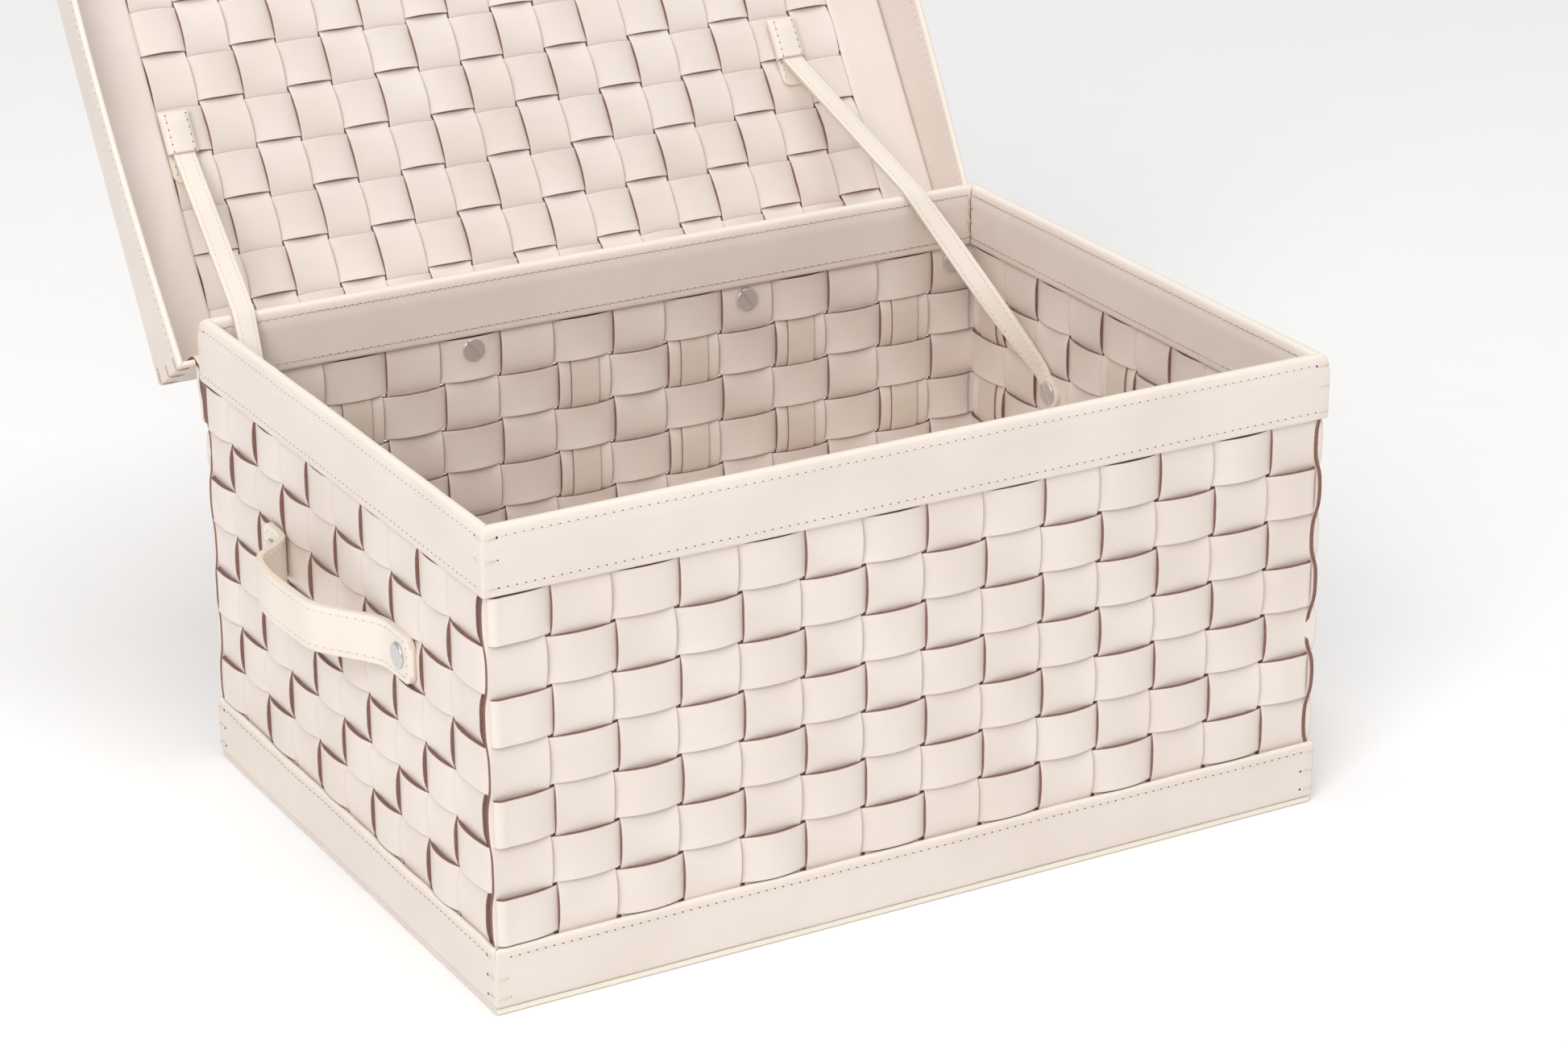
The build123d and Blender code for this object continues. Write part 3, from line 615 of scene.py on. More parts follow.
# %% Stitches
def tube(lines, ups, radius):
    """Tubes round many short lines at once, shape (count, stations, 3): rings of 6 points at
    line + radius·(cos·side + sin·up), thinner at both ends."""
    count, m, _ = lines.shape
    step = unit(np.gradient(lines, axis=1))
    side = unit(np.cross(step, ups))
    up = np.cross(side, step)
    turn = np.arange(6) * math.tau / 6
    thin = np.sin(np.linspace(0.12, 0.88, m) * math.pi)[:, None, None] ** 0.5
    ring = np.cos(turn)[:, None] * side[:, :, None] + np.sin(turn)[:, None] * up[:, :, None]
    points = lines[:, :, None] + radius * thin * ring
    index = np.arange(count * m * 6).reshape(count, m, 6)
    turned = np.roll(index, -1, 2)
    quads = np.stack([index[:, :-1], turned[:, :-1], turned[:, 1:], index[:, 1:]], -1).reshape(-1, 4)
    first, last = index[:, 0], index[:, -1]
    caps = [np.stack([c[:, 0], c[:, a], c[:, b], c[:, d]], -1)[:, ::o] for c, a, b, d, o in
            ((first, 5, 4, 3, 1), (first, 3, 2, 1, 1), (last, 5, 4, 3, -1), (last, 3, 2, 1, -1))]
    points = points.reshape(-1, 3)
    return points, np.concatenate([quads, *caps]), np.zeros_like(points)


def cones(at, along, up, radius):
    """A flat double cone at each hole: a ring of 6 round the hole, a point above and one below."""
    turn = np.arange(6) * math.tau / 6
    side = np.cross(up, along)
    ring = at[:, None] + radius * (1.25 * np.cos(turn)[:, None] * along[:, None]
                                   + np.sin(turn)[:, None] * side[:, None])
    top = at[:, None] + 0.06 * MM * up[:, None]
    low = at[:, None] - 0.5 * MM * up[:, None]
    points = np.concatenate([ring, top, low], 1)
    index = np.arange(len(points) * 8).reshape(-1, 8)
    j = np.array([0, 2, 4])
    k, m = (j + 1) % 6, (j + 2) % 6
    upper = np.stack([index[:, j], index[:, k], index[:, m], index[:, [6, 6, 6]]], -1)
    lower = np.stack([index[:, m], index[:, k], index[:, j], index[:, [7, 7, 7]]], -1)
    points = points.reshape(-1, 3)
    return points, np.concatenate([upper, lower]).reshape(-1, 4), np.zeros_like(points)


def seam(points, ups, pitch=PITCH, radius=0.25 * MM, hole_size=0.36 * MM):
    """Dashes and holes every pitch along a line lying on the leather. Dash i runs from hole i to hole
    i + 1 with its ends drawn in, rises a little in its middle and slants by a third of a millimetre."""
    reach = distances(points)
    at = np.linspace(0, reach[-1], max(1, int(round(reach[-1] / pitch))) + 1)
    hole = read_at(at, reach, points)
    up = unit(read_at(at, reach, ups))
    along = unit(hole[1:] - hole[:-1])
    share = np.linspace(0, 1, 5)[:, None]
    side = np.cross(up[:-1], along)
    lines = (hole[:-1, None] + (hole[1:] - hole[:-1])[:, None] * (0.12 + 0.76 * share)
             + side[:, None] * (share - 0.5) * 0.35 * MM
             + up[:-1, None] * (np.sin(share * math.pi) * 0.26 - 0.12) * MM)
    ahead = np.concatenate([along, along[-1:]])
    return [tube(lines, np.repeat(up[:-1, None], 5, 1), radius), cones(hole, ahead, up, hole_size)]


def stitched(name, seams, body="box", colour=None):
    """One mesh of seams; every other shell is the holes."""
    shells = [part for s in seams for part in s]
    return build(name, shells, [colour or thread, awl_hole], body=body,
                 which=[0, 1] * len(seams))


def wall_seam(side, z, n, bow, inner=False, end=8 * MM, size=BOX_SIZE, stations=80):
    """A seam along one wall at height z, n out of the outer face, moved out by bow like the wall;
    inner seams face inwards."""
    length = 2 * half_span(side, size)[0]
    s = np.linspace(end, length - end, stations)
    move = bow(s / length, np.array([z]))[:, 0]
    up = np.broadcast_to(-OUT[side] if inner else OUT[side], (stations, 3))
    return seam(wall_point(side, s, n + move, z, size), up)


rim_seams, inner_seams = [], []
for side in SIDES:
    for z, sunk in ((box_top - 4.6 * MM, 0.72 * MM), (rim_bottom + 4.2 * MM, -0.02 * MM)):
        rim_seams.append(wall_seam(side, z, -sunk, rim_bow[side]))
        inner_seams.append(wall_seam(side, z, sunk - rim_thickness, rim_bow[side], True, 10 * MM))
stitched("rim_stitching", rim_seams)
# Painted shade: the seams inside the rim take the darker copy of the thread, which stands in for the walls'
# shadow on the same pale linen.
stitched("rim_inner_stitching", inner_seams, colour=darker_thread)
stitched("base_stitching", [wall_seam(side, base_top - 4.4 * MM, 0.12 * MM, base_bow[side])
                            for side in SIDES])

# %% [markdown]
# The corners of the rim and the base are closed by hand: a doubled thread goes from a hole on one
# band round the corner to a hole on the next, three times on each corner.

# %% Corner wraps
def corner_wraps(heights, sink=0.0, size=BOX_SIZE):
    """Threads from hole to hole round each outer corner, two beside each other at every height. p is
    the way out of the wall that a half thread lies on, q the way out of the next one."""
    reach = 7.7 * MM

    def half_thread(base, p, q, d):
        """From the hole, reach along the wall from the corner, to just short of the corner."""
        return [base - q * reach - p * 0.4 * MM + UP * d * 0.3,
                base - q * reach * 0.75 + p * 0.2 * MM + UP * d,
                base - q * 1.2 * MM + p * 0.15 * MM + UP * d]

    lines, holes, aims, ups = [], [], [], []
    for side, nxt in zip(SIDES, SIDES[1:] + SIDES[:1]):
        half, far = half_span(side, size)
        a, b = OUT[side], OUT[nxt]
        for z in heights:
            base = a * far + b * half + UP * z
            for d in (-0.35 * MM, 0.35 * MM):
                thread_line = half_thread(base, a, b, d) + half_thread(base, b, a, d)[::-1]
                lines.append(np.array(thread_line) - (a + b) * sink)
            holes += [base - b * reach - a * sink, base - a * reach - b * sink]
            aims += [b, a]
            ups += [a, b]
    lines = np.array(lines)
    return [tube(lines, np.broadcast_to(UP, lines.shape), 0.32 * MM),
            cones(np.array(holes), np.array(aims), np.array(ups), 0.6 * MM)]


stitched("rim_corner_wraps", [corner_wraps([rim_bottom + 4.2 * MM, (rim_bottom + box_top) / 2 + 1 * MM]),
                              corner_wraps([box_top - 5 * MM], sink=0.5 * MM)])
stitched("base_corner_wraps", [corner_wraps([base_low.z + 5 * MM, (base_low.z + base_top) / 2,
                                             base_top - 5 * MM], sink=-0.1 * MM)])


def inner_wraps():
    """Loose threads over the mitre inside each corner of the rim, in the darker thread whose tone is
    painted shade there: three slanting loops.
    """
    lines = []
    share = np.linspace(0, 1, 7)[:, None]
    for side, nxt in zip(SIDES, SIDES[1:] + SIDES[:1]):
        half, far = half_span(side)
        a, b = OUT[side], OUT[nxt]
        corner = a * (far - rim_thickness) + b * (half - rim_thickness)
        for low, high, d in ((4, 14, 2.0), (12, 21, 1.4), (20, 28, 2.2)):
            start = corner - b * d * MM - a * 0.2 * MM + UP * (rim_bottom + low * MM)
            stop = corner - a * d * MM - b * 0.2 * MM + UP * (rim_bottom + high * MM)
            lines.append(start + (stop - start) * share - (a + b) * 0.9 * MM * np.sin(share * math.pi))
    lines = np.array(lines)
    return [tube(lines, np.broadcast_to(UP, lines.shape), 0.3 * MM)]


build("rim_inner_wraps", inner_wraps(), [darker_thread])

# %% [markdown]
# The CAD draws the lid standing open. It is easier to think of it lying shut, so the lid's pieces are
# worked out shut and then turned about the hinge by the joint's own range, taken from the record.

# %% The lid's frame
joint = frame["joints"][0]
hinge = np.array(joint["pos_m"], float)
OPEN = math.radians(joint["range_deg"][1])


def turn_lid(points, angle):
    """Points turned about the hinge line, which runs along X: y and z by the plane rotation."""
    rest = points - hinge
    c, s = math.cos(angle), math.sin(angle)
    return hinge + np.stack([rest[..., 0], c * rest[..., 1] - s * rest[..., 2],
                             s * rest[..., 1] + c * rest[..., 2]], -1)


def opened(part):
    """A shell of the shut lid, turned to where it stands open."""
    points, quads, marks = part
    return turn_lid(points, -OPEN), quads, marks


def shut_box(name):
    """Corners of a lid node's box once the lid is shut."""
    mesh = frame["nodes"][name].data
    co = np.empty(len(mesh.vertices) * 3, np.float32)
    mesh.vertices.foreach_get("co", co)
    co = turn_lid(co.reshape(-1, 3).astype(float), OPEN)
    return Vector(co.min(0)), Vector(co.max(0))


wall_low, wall_high = shut_box("lid_wall_front")
lid_size = (wall_high.x, -wall_low.y)
mouth, lid_top = wall_low.z, wall_high.z
frame_low, frame_high = shut_box("lid_frame_front")
top_low, top_high = shut_box("lid_top_frame")
long_low, long_high = shut_box("lid_long_straps")
cross_low, cross_high = shut_box("lid_cross_straps")
ply = frame_high.z - frame_low.z
weave_level = (long_low.z + long_high.z) / 2
COLUMNS, LID_ROWS = 16, 11
opening = frame_high.y - frame_low.y
weave_x = frame_high.x - opening
lid_width = (cross_high.x - cross_low.x) - (COLUMNS - 1) * 2 * weave_x / COLUMNS
row_pitch = (long_high.y - long_low.y - lid_width) / (LID_ROWS - 1)
weave_back = long_high.y + (row_pitch - lid_width) / 2
weave_front = weave_back - LID_ROWS * row_pitch
back_opening = -frame_low.y - weave_back
print("lid's straps, rows, weave from and to, frame at the hinge, mm:",
      np.round(np.array([lid_width, row_pitch, weave_front, weave_back, back_opening]) / MM, 1))

# %% [markdown]
# The lid's walls are single plies with a turned, polished mouth edge. The long unsupported side walls
# relax outwards by a few millimetres between their corners.

# %% Lid walls and frame plies
def splay(amount):
    """Outwards by amount in the middle of the wall's mouth, nothing at its corners or at the panel:
    sin(pi·share) times the share of the wall's depth."""
    return lambda share, z: (amount * np.sin(np.pi * share))[:, None] * (
        (lid_top - z) / (lid_top - mouth))


wall_line = [(BAND / 2, mouth), (BAND / 2, lid_top - 4 * MM), (BAND / 2 + 0.5 * MM, lid_top - MM)]
wall_outline = skins(resample(wall_line, 2 * MM, 1.2 * MM), BAND)
mouth_mark = (wall_outline[:, 1] < mouth + 1.0 * MM) * 0.8
SPLAY = {"front": 2.0 * MM, "right": 5.0 * MM, "back": 0.0, "left": 5.0 * MM}
for side in SIDES:
    build("lid_wall_turned_" + side, [opened(band(side, wall_outline, mouth_mark, BAND, lid_size,
                                                  bow=splay(SPLAY[side])))],
          [band_leather], body="lid", replaces=["lid_wall_" + side])

MITRES = {"front": (1, 1), "right": (1, 0), "back": (0, 0), "left": (0, 1)}


def lid_ply(side, low, high):
    """A flat ply of the panel's frame. The front and side plies meet at mitres; the narrow one along
    the hinge runs between the side plies."""
    depth = back_opening if side == "back" else opening
    outline = skins(resample([(0, 0), (depth, 0)], 2 * MM, 0.8 * MM), ply) + (0, (low + high) / 2)
    raw = (np.abs(outline[:, 0] - depth) < 0.05 * MM) * 1.0
    size = (frame_high.x - (opening if side == "back" else 0), -frame_low.y)
    return opened(band(side, outline, raw, depth, size, corner=0.4 * MM, mitre=MITRES[side]))


for side in SIDES:
    build("lid_frame_ply_" + side, [lid_ply(side, frame_low.z, frame_high.z)],
          [band_leather], body="lid", replaces=["lid_frame_" + side])
build("lid_top_ply", [lid_ply(side, top_low.z, top_high.z) for side in SIDES],
      [band_leather], body="lid", replaces=["lid_top_frame"])

# %% [markdown]
# The lid's panel is woven too: eleven straps along it and sixteen across. Counted from the left and
# from the hinge, the strap that runs across shows inside where the two numbers add up to an odd one.
# The straps leave small square windows at the crossings.

# %% Lid weave
LID_BULGE = 1.5 * MM
TUCK = 16 * MM           # how far a strap goes on under the frame


def lid_strap(count, low, high, sign, far_tuck=TUCK):
    """At distance at and height h: h = sign·swing(crossing number)·(bulge + flare·lift), nothing
    outside the woven opening; the strap goes on under the frame by its tucks."""
    at = np.concatenate([[low - TUCK, low - 0.4 * TUCK], np.linspace(low, high, 8 * count + 1),
                         [high + 0.4 * far_tuck, high + far_tuck]])
    number = (at - low) / (high - low) * count - 0.5
    across, height, cut = strap_outline(lid_width, LEATHER)
    rough = np.interp(number, np.arange(-1, count + 1), rng.uniform(0.8, 1.2, count + 2))
    wander = np.interp(number, np.arange(-1, count + 1), rng.uniform(-0.45, 0.45, count + 2)) * MM
    wave = np.where((at > low) & (at < high), swing(number, 1.2), 0) * rough * sign
    h = wave[:, None] * (LID_BULGE + FLARE * edge_lift(across, lid_width)) + height
    return np.broadcast_arrays(at[:, None], across + wander[:, None], h + weave_level, cut)


long_shells, cross_shells = [], []
for j in range(LID_ROWS):
    at, a, h, cut = lid_strap(COLUMNS, -weave_x, weave_x, -1 if j % 2 == 0 else 1)
    y = weave_back - (j + 0.5) * (weave_back - weave_front) / LID_ROWS
    long_shells.append(opened(strap_shell(stack(at, y - a, h), stack(at, a, cut))))
for i in range(COLUMNS):
    sign = 1 if (i + LID_ROWS - 1) % 2 == 0 else -1
    at, a, h, cut = lid_strap(LID_ROWS, weave_front, weave_back, sign, 3.6 * MM)
    x = -weave_x + (i + 0.5) * 2 * weave_x / COLUMNS
    cross_shells.append(opened(strap_shell(stack(x + a, at, h), stack(at, a, cut))))
for name, shells in (("along", long_shells), ("across", cross_shells)):
    build("lid_straps_" + name, shells, [strap_leather], body="lid",
          replaces=["lid_long_straps" if name == "along" else "lid_cross_straps"])

lid_seams = [wall_seam(side, mouth + 4.4 * MM, n, splay(SPLAY[side]), inner, 6 * MM, lid_size, 60)
             for side in SIDES for n, inner in ((0.02 * MM, False), (-BAND - 0.02 * MM, True))]
lid_wraps = corner_wraps(np.linspace(mouth + 5 * MM, lid_top - 7 * MM, 3), -0.1 * MM, lid_size)
stitched("lid_stitching", [map(opened, parts) for parts in lid_seams], body="lid")
stitched("lid_corner_wraps", [map(opened, lid_wraps)], body="lid", colour=darker_thread)

# %% [markdown]
# A strip that bends in space, such as a handle, a stay or a keeper, is a strap outline carried along
# a path: at each station the across direction and the path give the normal. Sharp turns of the path
# are softened by averaging it over a short reach.

# %% Strips in space
def smooth_path(points, reach, spacing=1.5 * MM):
    """Evenly spaced points along the path, averaged with a bell curve of the given reach; the ends are
    kept by reflecting the path at them. Extra columns are smoothed alike."""
    points = np.asarray(points, float)
    reached = distances(points[:, :3])
    fine = read_at(np.linspace(0, reached[-1], int(reached[-1] / spacing) + 2), reached, points)
    steps = max(1, int(3 * reach / spacing))
    bell = np.exp(-0.5 * (np.arange(-steps, steps + 1) * spacing / reach) ** 2)
    bell /= bell.sum()
    padded = np.concatenate([2 * fine[0] - fine[steps:0:-1], fine, 2 * fine[-1] - fine[-2:-steps - 2:-1]])
    return np.stack([np.convolve(column, bell, "valid") for column in padded.T], 1)


def strip(path, wide, outline, rounded=(0, 0)):
    """Outline (across, height, cut) carried along path, with across along wide. rounded gives the
    radius r of each end's corners: at distance d the half width loses r - sqrt(r^2 - (r - d)^2)."""
    across, height, cut = outline
    step = unit(np.gradient(path, axis=0))
    wide = unit(wide - step * (wide * step).sum(1, keepdims=True))
    normal = np.cross(wide, step)
    dist = distances(path)
    share = np.ones(len(path))
    for d, r in ((dist, rounded[0]), (dist[-1] - dist, rounded[1])):
        if r:
            near = np.clip(r - d, 0, 0.98 * r)
            share = share - (r - np.sqrt(r ** 2 - near ** 2)) / (np.ptp(across) / 2)
    grid = (path[:, None] + (across * share[:, None])[..., None] * wide[:, None]
            + height[None, :, None] * normal[:, None])
    return shell(grid, stack(dist[:, None], across, cut)), wide, normal


def strip_seams(path, wide, normal, offset, lift, start, stop, **thread_size):
    """Two seams along a strip on each of its faces, offset from its middle line."""
    dist = distances(path)
    keep = (dist >= start) & (dist <= dist[-1] - stop)
    return [seam((path + wide * offset * side + normal * lift * face)[keep], (normal * face)[keep],
                 **thread_size) for side in (1, -1) for face in (1, -1)]


corner_path = smooth_path([(0, 0, 0), (0.02, 0, 0), (0.02, 0.02, 0)], 2 * MM)
print("a 40 mm corner smoothed over 2 mm is", round(distances(corner_path)[-1] / MM, 1), "mm long")

# %% [markdown]
# Each handle is two plies sewn together all round, riveted flat at both ends. Between the rivets it
# stands off the wall; years of being lifted make the rear bend tighter than the front one.

# %% Handles
HANDLE_PLY = 3.4 * MM
SEAM_INSET = 3.2 * MM    # a handle's seam lies this far in from its edge


def handle(side):
    """Path in (distance along the wall, distance off the middle), smoothed, then laid along the wall."""
    low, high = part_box("handle_" + side)
    sign = -1 if side == "left" else 1
    wall, far = sorted((abs(low.x), abs(high.x)))
    seat, proud = wall + HANDLE_PLY / 2, far - HANDLE_PLY / 2
    front, rear = low.y, high.y
    plan = [(front, seat), (front + 30 * MM, seat), (front + 62 * MM, proud - 2 * MM),
            (rear - 62 * MM, proud), (rear - 40 * MM, proud - 3 * MM), (rear - 25 * MM, seat), (rear, seat)]
    path = smooth_path([(sign * n, y, (low.z + high.z) / 2) for y, n in plan], 5.5 * MM, 1.2 * MM)
    width = high.z - low.z
    reach = width / 2 - SEAM_INSET
    part, wide, normal = strip(path, np.broadcast_to(-sign * UP, path.shape),
                               strap_outline(width, HANDLE_PLY, 0.9 * MM), (6 * MM, 6 * MM))
    seams = strip_seams(path, wide, normal, reach, HANDLE_PLY / 2, 6 * MM, 6 * MM, hole_size=0.32 * MM)
    turn = np.linspace(-1, 1, 15)[:, None] * math.pi / 2
    for end, inside in ((0, 4), (-1, -5)):
        into = unit(path[inside] - path[end])
        line = (path[end] + into * (6 - 3 * np.cos(turn) ** 0.5) * MM + wide[end] * np.sin(turn) * reach
                + normal[end] * HANDLE_PLY / 2)
        seams.append(seam(line, np.broadcast_to(normal[end], line.shape), radius=0.26 * MM))
    build("sewn_handle_" + side, [part], [trim_leather], replaces=["handle_" + side])
    stitched("handle_stitching_" + side, seams)


for side in ("left", "right"):
    handle(side)

# %% [markdown]
# A stay runs from its keeper in the lid, over the back rim and down to the handle's rear screw. It
# faces the room at the keeper and lies flat on the end wall at the screw, so it turns a quarter on
# the way. It is one flexible piece across the hinge, built as it lies open and left out of both bodies.

# %% Stays
def screw_place(side):
    """Middle of the handle's rear screw, from the screws' CAD box."""
    low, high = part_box("handle_screws_" + side)
    radius = (high.z - low.z) / 2
    inner = high.x if side == "left" else low.x
    return np.array([inner, high.y - radius, (low.z + high.z) / 2])


def keeper_place(side):
    """(x of the keeper's middle line, low corner, high corner) in the shut lid."""
    low, high = shut_box("stay_keeper_" + side)
    return (low.x + high.x) / 2, low, high


STAY_WIDTH, STAY_THICK = 11.6 * MM, 2.2 * MM
KEEPER_TONGUE = 15 * MM                       # from a keeper's mouth to the tip of its tongue
CROSSING = {"left": 22.0 * MM, "right": 43.5 * MM}    # where a stay crosses the rim, in from the corner


def stay(side):
    """Stations of (point, across direction): keeper, back rim, screw. Over the last stretch the across
    direction turns by 90 degrees times share to the power 1.3."""
    sign = -1 if side == "left" else 1
    x, low, high = keeper_place(side)
    level = low.z + 2.9 * MM
    inside, mouth_end = (turn_lid(np.array([x, y, level]), -OPEN)
                         for y in (low.y + 6 * MM, high.y - KEEPER_TONGUE))
    screw = screw_place(side)
    place = screw + sign * 2.95 * MM * X
    over = np.array([sign * (half_length - CROSSING[side]), half_width - rim_thickness + 1.4 * MM,
                     box_top + 1.9 * MM])
    run = unit((screw - over) * (0, 1, 1))
    flat = place - run * 12 * MM
    edgewise = -sign * np.cross(X, run)
    stations = [(*point, *X) for point in (inside, mouth_end, over)]
    for share in (0.25, 0.5, 0.75, 1.0):
        angle = math.pi / 2 * share ** 1.3
        across = X * math.cos(angle) + edgewise * math.sin(angle)
        stations.append((*(over + (flat - over) * share), *across))
    stations.append((*(place + run * 9 * MM), *edgewise))
    line = smooth_path(stations, 3.0 * MM, 1.2 * MM)
    part, wide, normal = strip(line[:, :3], line[:, 3:], strap_outline(STAY_WIDTH, STAY_THICK, 0.4 * MM),
                               (0, 5 * MM))
    leather_piece = build("sewn_stay_" + side, [part], [trim_leather], body=None,
                          replaces=["stay_strap_" + side])
    seams = strip_seams(line[:, :3], wide, normal, STAY_WIDTH / 2 - 2.3 * MM, STAY_THICK / 2, MM, 5 * MM,
                        pitch=3.6 * MM, radius=0.2 * MM, hole_size=0.2 * MM)
    for piece in (leather_piece, stitched("stay_stitching_" + side, seams, body=None)):
        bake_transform(piece)
        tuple(mouth_end)


for side in ("left", "right"):
    stay(side)

# %% [markdown]
# A keeper is a short sleeve sewn to the lid's panel: a base ply with a round tongue, and a front ply
# that arches over the end of the stay. Its mouth is the one raw edge you can see.

# %% Keepers
KEEPER_PLY = 1.7 * MM


def keeper(side):
    """Base ply: a strip with one round end. Front ply: a strip whose section is arched by
    (1 - (2·across/width)^5), so its long edges touch the base."""
    x, low, high = keeper_place(side)
    width = high.x - low.x
    front_width = width + 0.6 * MM
    y_tip, y_mouth, y_end = high.y, high.y - KEEPER_TONGUE, low.y
    seat = high.z - 0.9 * MM
    front_seat = seat - 1.6 * MM

    def arch(across):
        """2.6 mm · (1 - |2·across/width| to the power 5)."""
        return (1 - np.abs(2 * across / front_width) ** 5) * 2.6 * MM

    base_path = stack(x, np.linspace(y_end, y_tip, 34), seat)
    base = strip(base_path, np.broadcast_to(X, base_path.shape),
                 strap_outline(width, KEEPER_PLY, 0.5 * MM), (1.5 * MM, 5 * MM))[0]
    across, height, _ = strap_outline(front_width, KEEPER_PLY, 0.5 * MM)
    share = np.linspace(0, 1, 24)[:, None]
    y = y_end - 0.8 * MM + (y_mouth - y_end + 0.8 * MM) * share
    rise = np.clip(share / 0.25, 0, 1) * 0.75 + 0.25
    front = shell(stack(x + across, y, front_seat + height - arch(across) * rise),
                  stack(y, across, share == 1))
    lines = []
    for d in (-1, 1):
        a = d * (width / 2 - 2.4 * MM)
        level = -KEEPER_PLY / 2
        for start, stop, count, z, up in (
                (y_end + 1.5 * MM, y_mouth - 1.0 * MM, 20, front_seat + level - arch(a), 0.25 * d * X - UP),
                (y_mouth + 1.5 * MM, y_tip - 5 * MM, 8, seat + level, -UP)):
            points = stack(x + a, np.linspace(start, stop, count), z)
            lines.append(seam(points, np.broadcast_to(up, points.shape), 3.6 * MM, 0.26 * MM))
    build("sewn_keeper_" + side, [opened(base), opened(front)], [trim_leather], body="lid",
          replaces=["stay_keeper_" + side])
    stitched("keeper_stitching_" + side, [map(opened, pair) for pair in lines], body="lid")


for side in ("left", "right"):
    keeper(side)

# %% [markdown]
# The hinge is four doubled tabs, screwed to the back wall and sewn to the lid. One ply goes over the
# mouth of the lid's back wall and flexes when the lid moves; each tab is built as it lies open, in neither
# body. The second ply runs straight from the mouth down to the wall, and a raw wedge of filler lies between
# the two.

# %% Hinge tabs
def lid_wall_point(depth, up):
    """(y, z) of a point of the open lid's back wall: depth in from its outer face, up from its mouth."""
    return tuple(turn_lid(np.array([0, lid_size[1] - depth, mouth + up]), -OPEN)[1:])


def tab(number):
    """Side view (y, z): down the wall, up under the rim, over the lid's mouth and on to its inner
    face, as a ply carried across the tab's width."""
    low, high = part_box(f"hinge_tab_{number}")
    x, wall = (low.x + high.x) / 2, low.y
    inside = BAND + 1.4 * MM
    ply_one = [(wall + 1.3 * MM, low.z), (wall + 1.3 * MM, rim_bottom - 4 * MM),
               (half_width + 1.6 * MM, rim_bottom + 1 * MM), (half_width + 2 * MM, rim_bottom + 4 * MM),
               lid_wall_point(inside, 2 * MM), lid_wall_point(inside, 12.5 * MM)]
    ply_two = [(half_width + 3.4 * MM, low.z), (half_width + 3.9 * MM, low.z + 10 * MM),
               (half_width + 7.0 * MM, low.z + 17 * MM), lid_wall_point(0.3 * MM, -1.3 * MM)]
    across, height, cut = strap_outline(high.x - low.x, 2.3 * MM, 0.5 * MM)
    shells = []
    for line, raw in ((ply_one, 1.0), (ply_two, 0.0)):
        path = smooth_path([(x, *point) for point in line], 2.0 * MM, 0.9 * MM)
        shells.append(strip(path, np.broadcast_to(X, path.shape), (across, height, cut * raw))[0])
    z = np.linspace(low.z + 1.5 * MM, rim_bottom - 1.5 * MM, 12)[:, None]
    outer = np.interp(z, *np.array(ply_two).T[::-1]) - 1.0 * MM
    near, far = low.x + 0.4 * MM, high.x - 0.4 * MM
    grid = stack(np.array([near, far, far, near]), np.where(np.arange(4) < 2, wall + 0.4 * MM, outer), z)
    shells.append(shell(grid, np.broadcast_to(UP, grid.shape)))
    piece = build(f"hinge_tab_folded_{number}", shells, [strap_leather], body=None,
                  replaces=[f"hinge_tab_{number}"])
    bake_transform(piece)


for number in range(1, 5):
    tab(number)

# %% [markdown]
# The ribs that stiffen some uprights are thin strips on their inner faces, under the hoops that pass
# inside. They follow the same swing as the upright they lie on.

# %% Ribs
RIBS = {"front": (2, 6, 8, 10, 12), "right": (1, 5, 9), "back": (1, 3, 5, 7, 11), "left": (0, 4, 8)}


def ribs(side):
    """The upright's own line, moved in by half of both plies."""
    shells = []
    z = np.linspace(base_top + MM, rim_bottom - MM, 70)
    across, height, cut = strap_outline(16 * MM, 1.3 * MM)
    starts = upright_starts(side)
    for k in RIBS[side]:
        wave = swing(weave_row(z) + FIRST[side] + k + 1)
        n = -middle + (wave * UPRIGHT_BULGE - LEATHER / 2 - 0.6 * MM)[:, None] + height
        grid = wall_point(side, starts[k] + STRAP_WIDTH / 2 + across, n, z[:, None])
        shells.append(strap_shell(grid, stack(z[:, None], across, cut)))
    return shells


for side in SIDES:
    build("stiffening_ribs_" + side, ribs(side), [lining_leather],
          replaces=["ribs_" + side])

# %% [markdown]
# The metal and the hidden board keep their CAD shapes, which are right, and only get their finish.

# %% Finishes of the CAD nodes
for name, item in frame["nodes"].items():
    if item.hide_render:
        continue
    finish = cap_metal if "posts" in name else screw_metal if "screws" in name else fibreboard
    item.data.materials.clear()
    item.data.materials.append(finish)
    print(name, "is", finish.name)

# %% [markdown]
# A catalogue picture stands the box on a seamless white sweep: a big soft source in front on the
# left, a weaker one overhead that reaches the inside, and a bright surround.

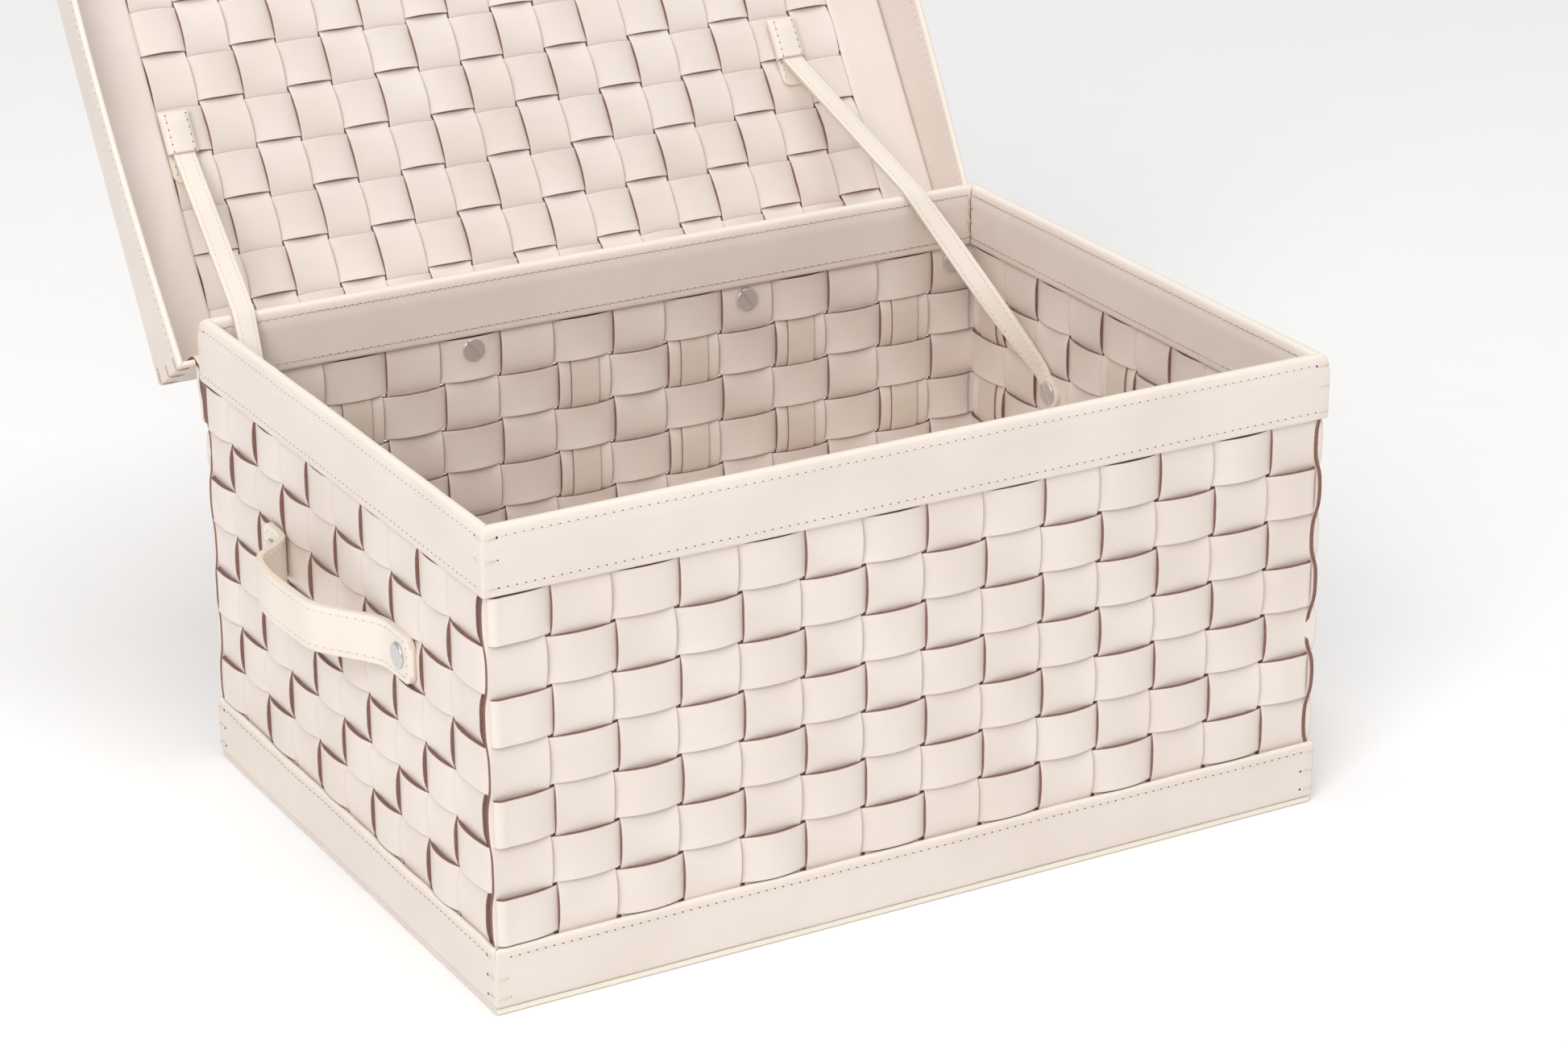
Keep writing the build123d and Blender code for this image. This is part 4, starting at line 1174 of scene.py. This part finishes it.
# %% Stage, light and camera
floor_material = plain("matt_white_sweep", "#FFFFFF", "#FBFBFB", 40, 0.9, bump=0.0)
floor_mesh = bpy.data.meshes.new("sweep")
SWEEP, BELOW = 6.0, -0.3 * MM    # half the sweep's side, and its height just under the sole
floor_mesh.from_pydata([(x * SWEEP, y * SWEEP, BELOW) for x, y in ((-1, -1), (1, -1), (1, 1), (-1, 1))],
                       [], [(0, 1, 2, 3)])
floor = bpy.data.objects.new("sweep", floor_mesh)
floor_mesh.materials.append(floor_material)
bpy.context.collection.objects.link(floor)

scene = bpy.context.scene
scene.view_settings.view_transform = "Standard"
world = bpy.data.worlds.new("studio")
world.use_nodes = True
world.node_tree.nodes["Background"].inputs["Color"].default_value = (1.0, 0.99, 0.98, 1)
world.node_tree.nodes["Background"].inputs["Strength"].default_value = 0.50
scene.world = world


def softbox(name, place, aim, size, watts):
    """A square area light turned to its aim."""
    light = bpy.data.lights.new(name, "AREA")
    light.size, light.energy = size, watts
    lamp = bpy.data.objects.new(name, light)
    lamp.location = place
    lamp.rotation_euler = (Vector(aim) - Vector(place)).to_track_quat("-Z", "Y").to_euler()
    bpy.context.collection.objects.link(lamp)


softbox("key", (-3.1, -2.9, 3.2), (0, 0, 0.15), 2.6, 138)
softbox("high", (0.0, -0.5, 5.0), (0, 0, 0.2), 3.0, 84)

AZIMUTH, ELEVATION, ROLL = math.radians(-29.22), math.radians(21.63), math.radians(0.303)
back = Vector((math.sin(AZIMUTH) * math.cos(ELEVATION), -math.cos(AZIMUTH) * math.cos(ELEVATION),
               math.sin(ELEVATION)))
aim = Vector((0.007, -0.008, 0.150))
right = (-back).cross(Vector((0, 0, 1))).normalized()
upward = right.cross(-back)
tilted = right * math.cos(ROLL) - upward * math.sin(ROLL)
raised = tilted.cross(-back)
camera = bpy.data.objects.new("camera", bpy.data.cameras.new("camera"))
DISTANCE = 2.107
turned = Matrix((tilted, raised, back)).transposed().to_4x4()
camera.matrix_world = Matrix.Translation(aim + back * DISTANCE) @ turned
camera.data.lens = 98.6
camera.data.shift_x, camera.data.shift_y = 0.0041, -0.0119
bpy.context.collection.objects.link(camera)
scene.camera = camera
print("camera at", [round(v, 2) for v in camera.matrix_world.translation], "m")
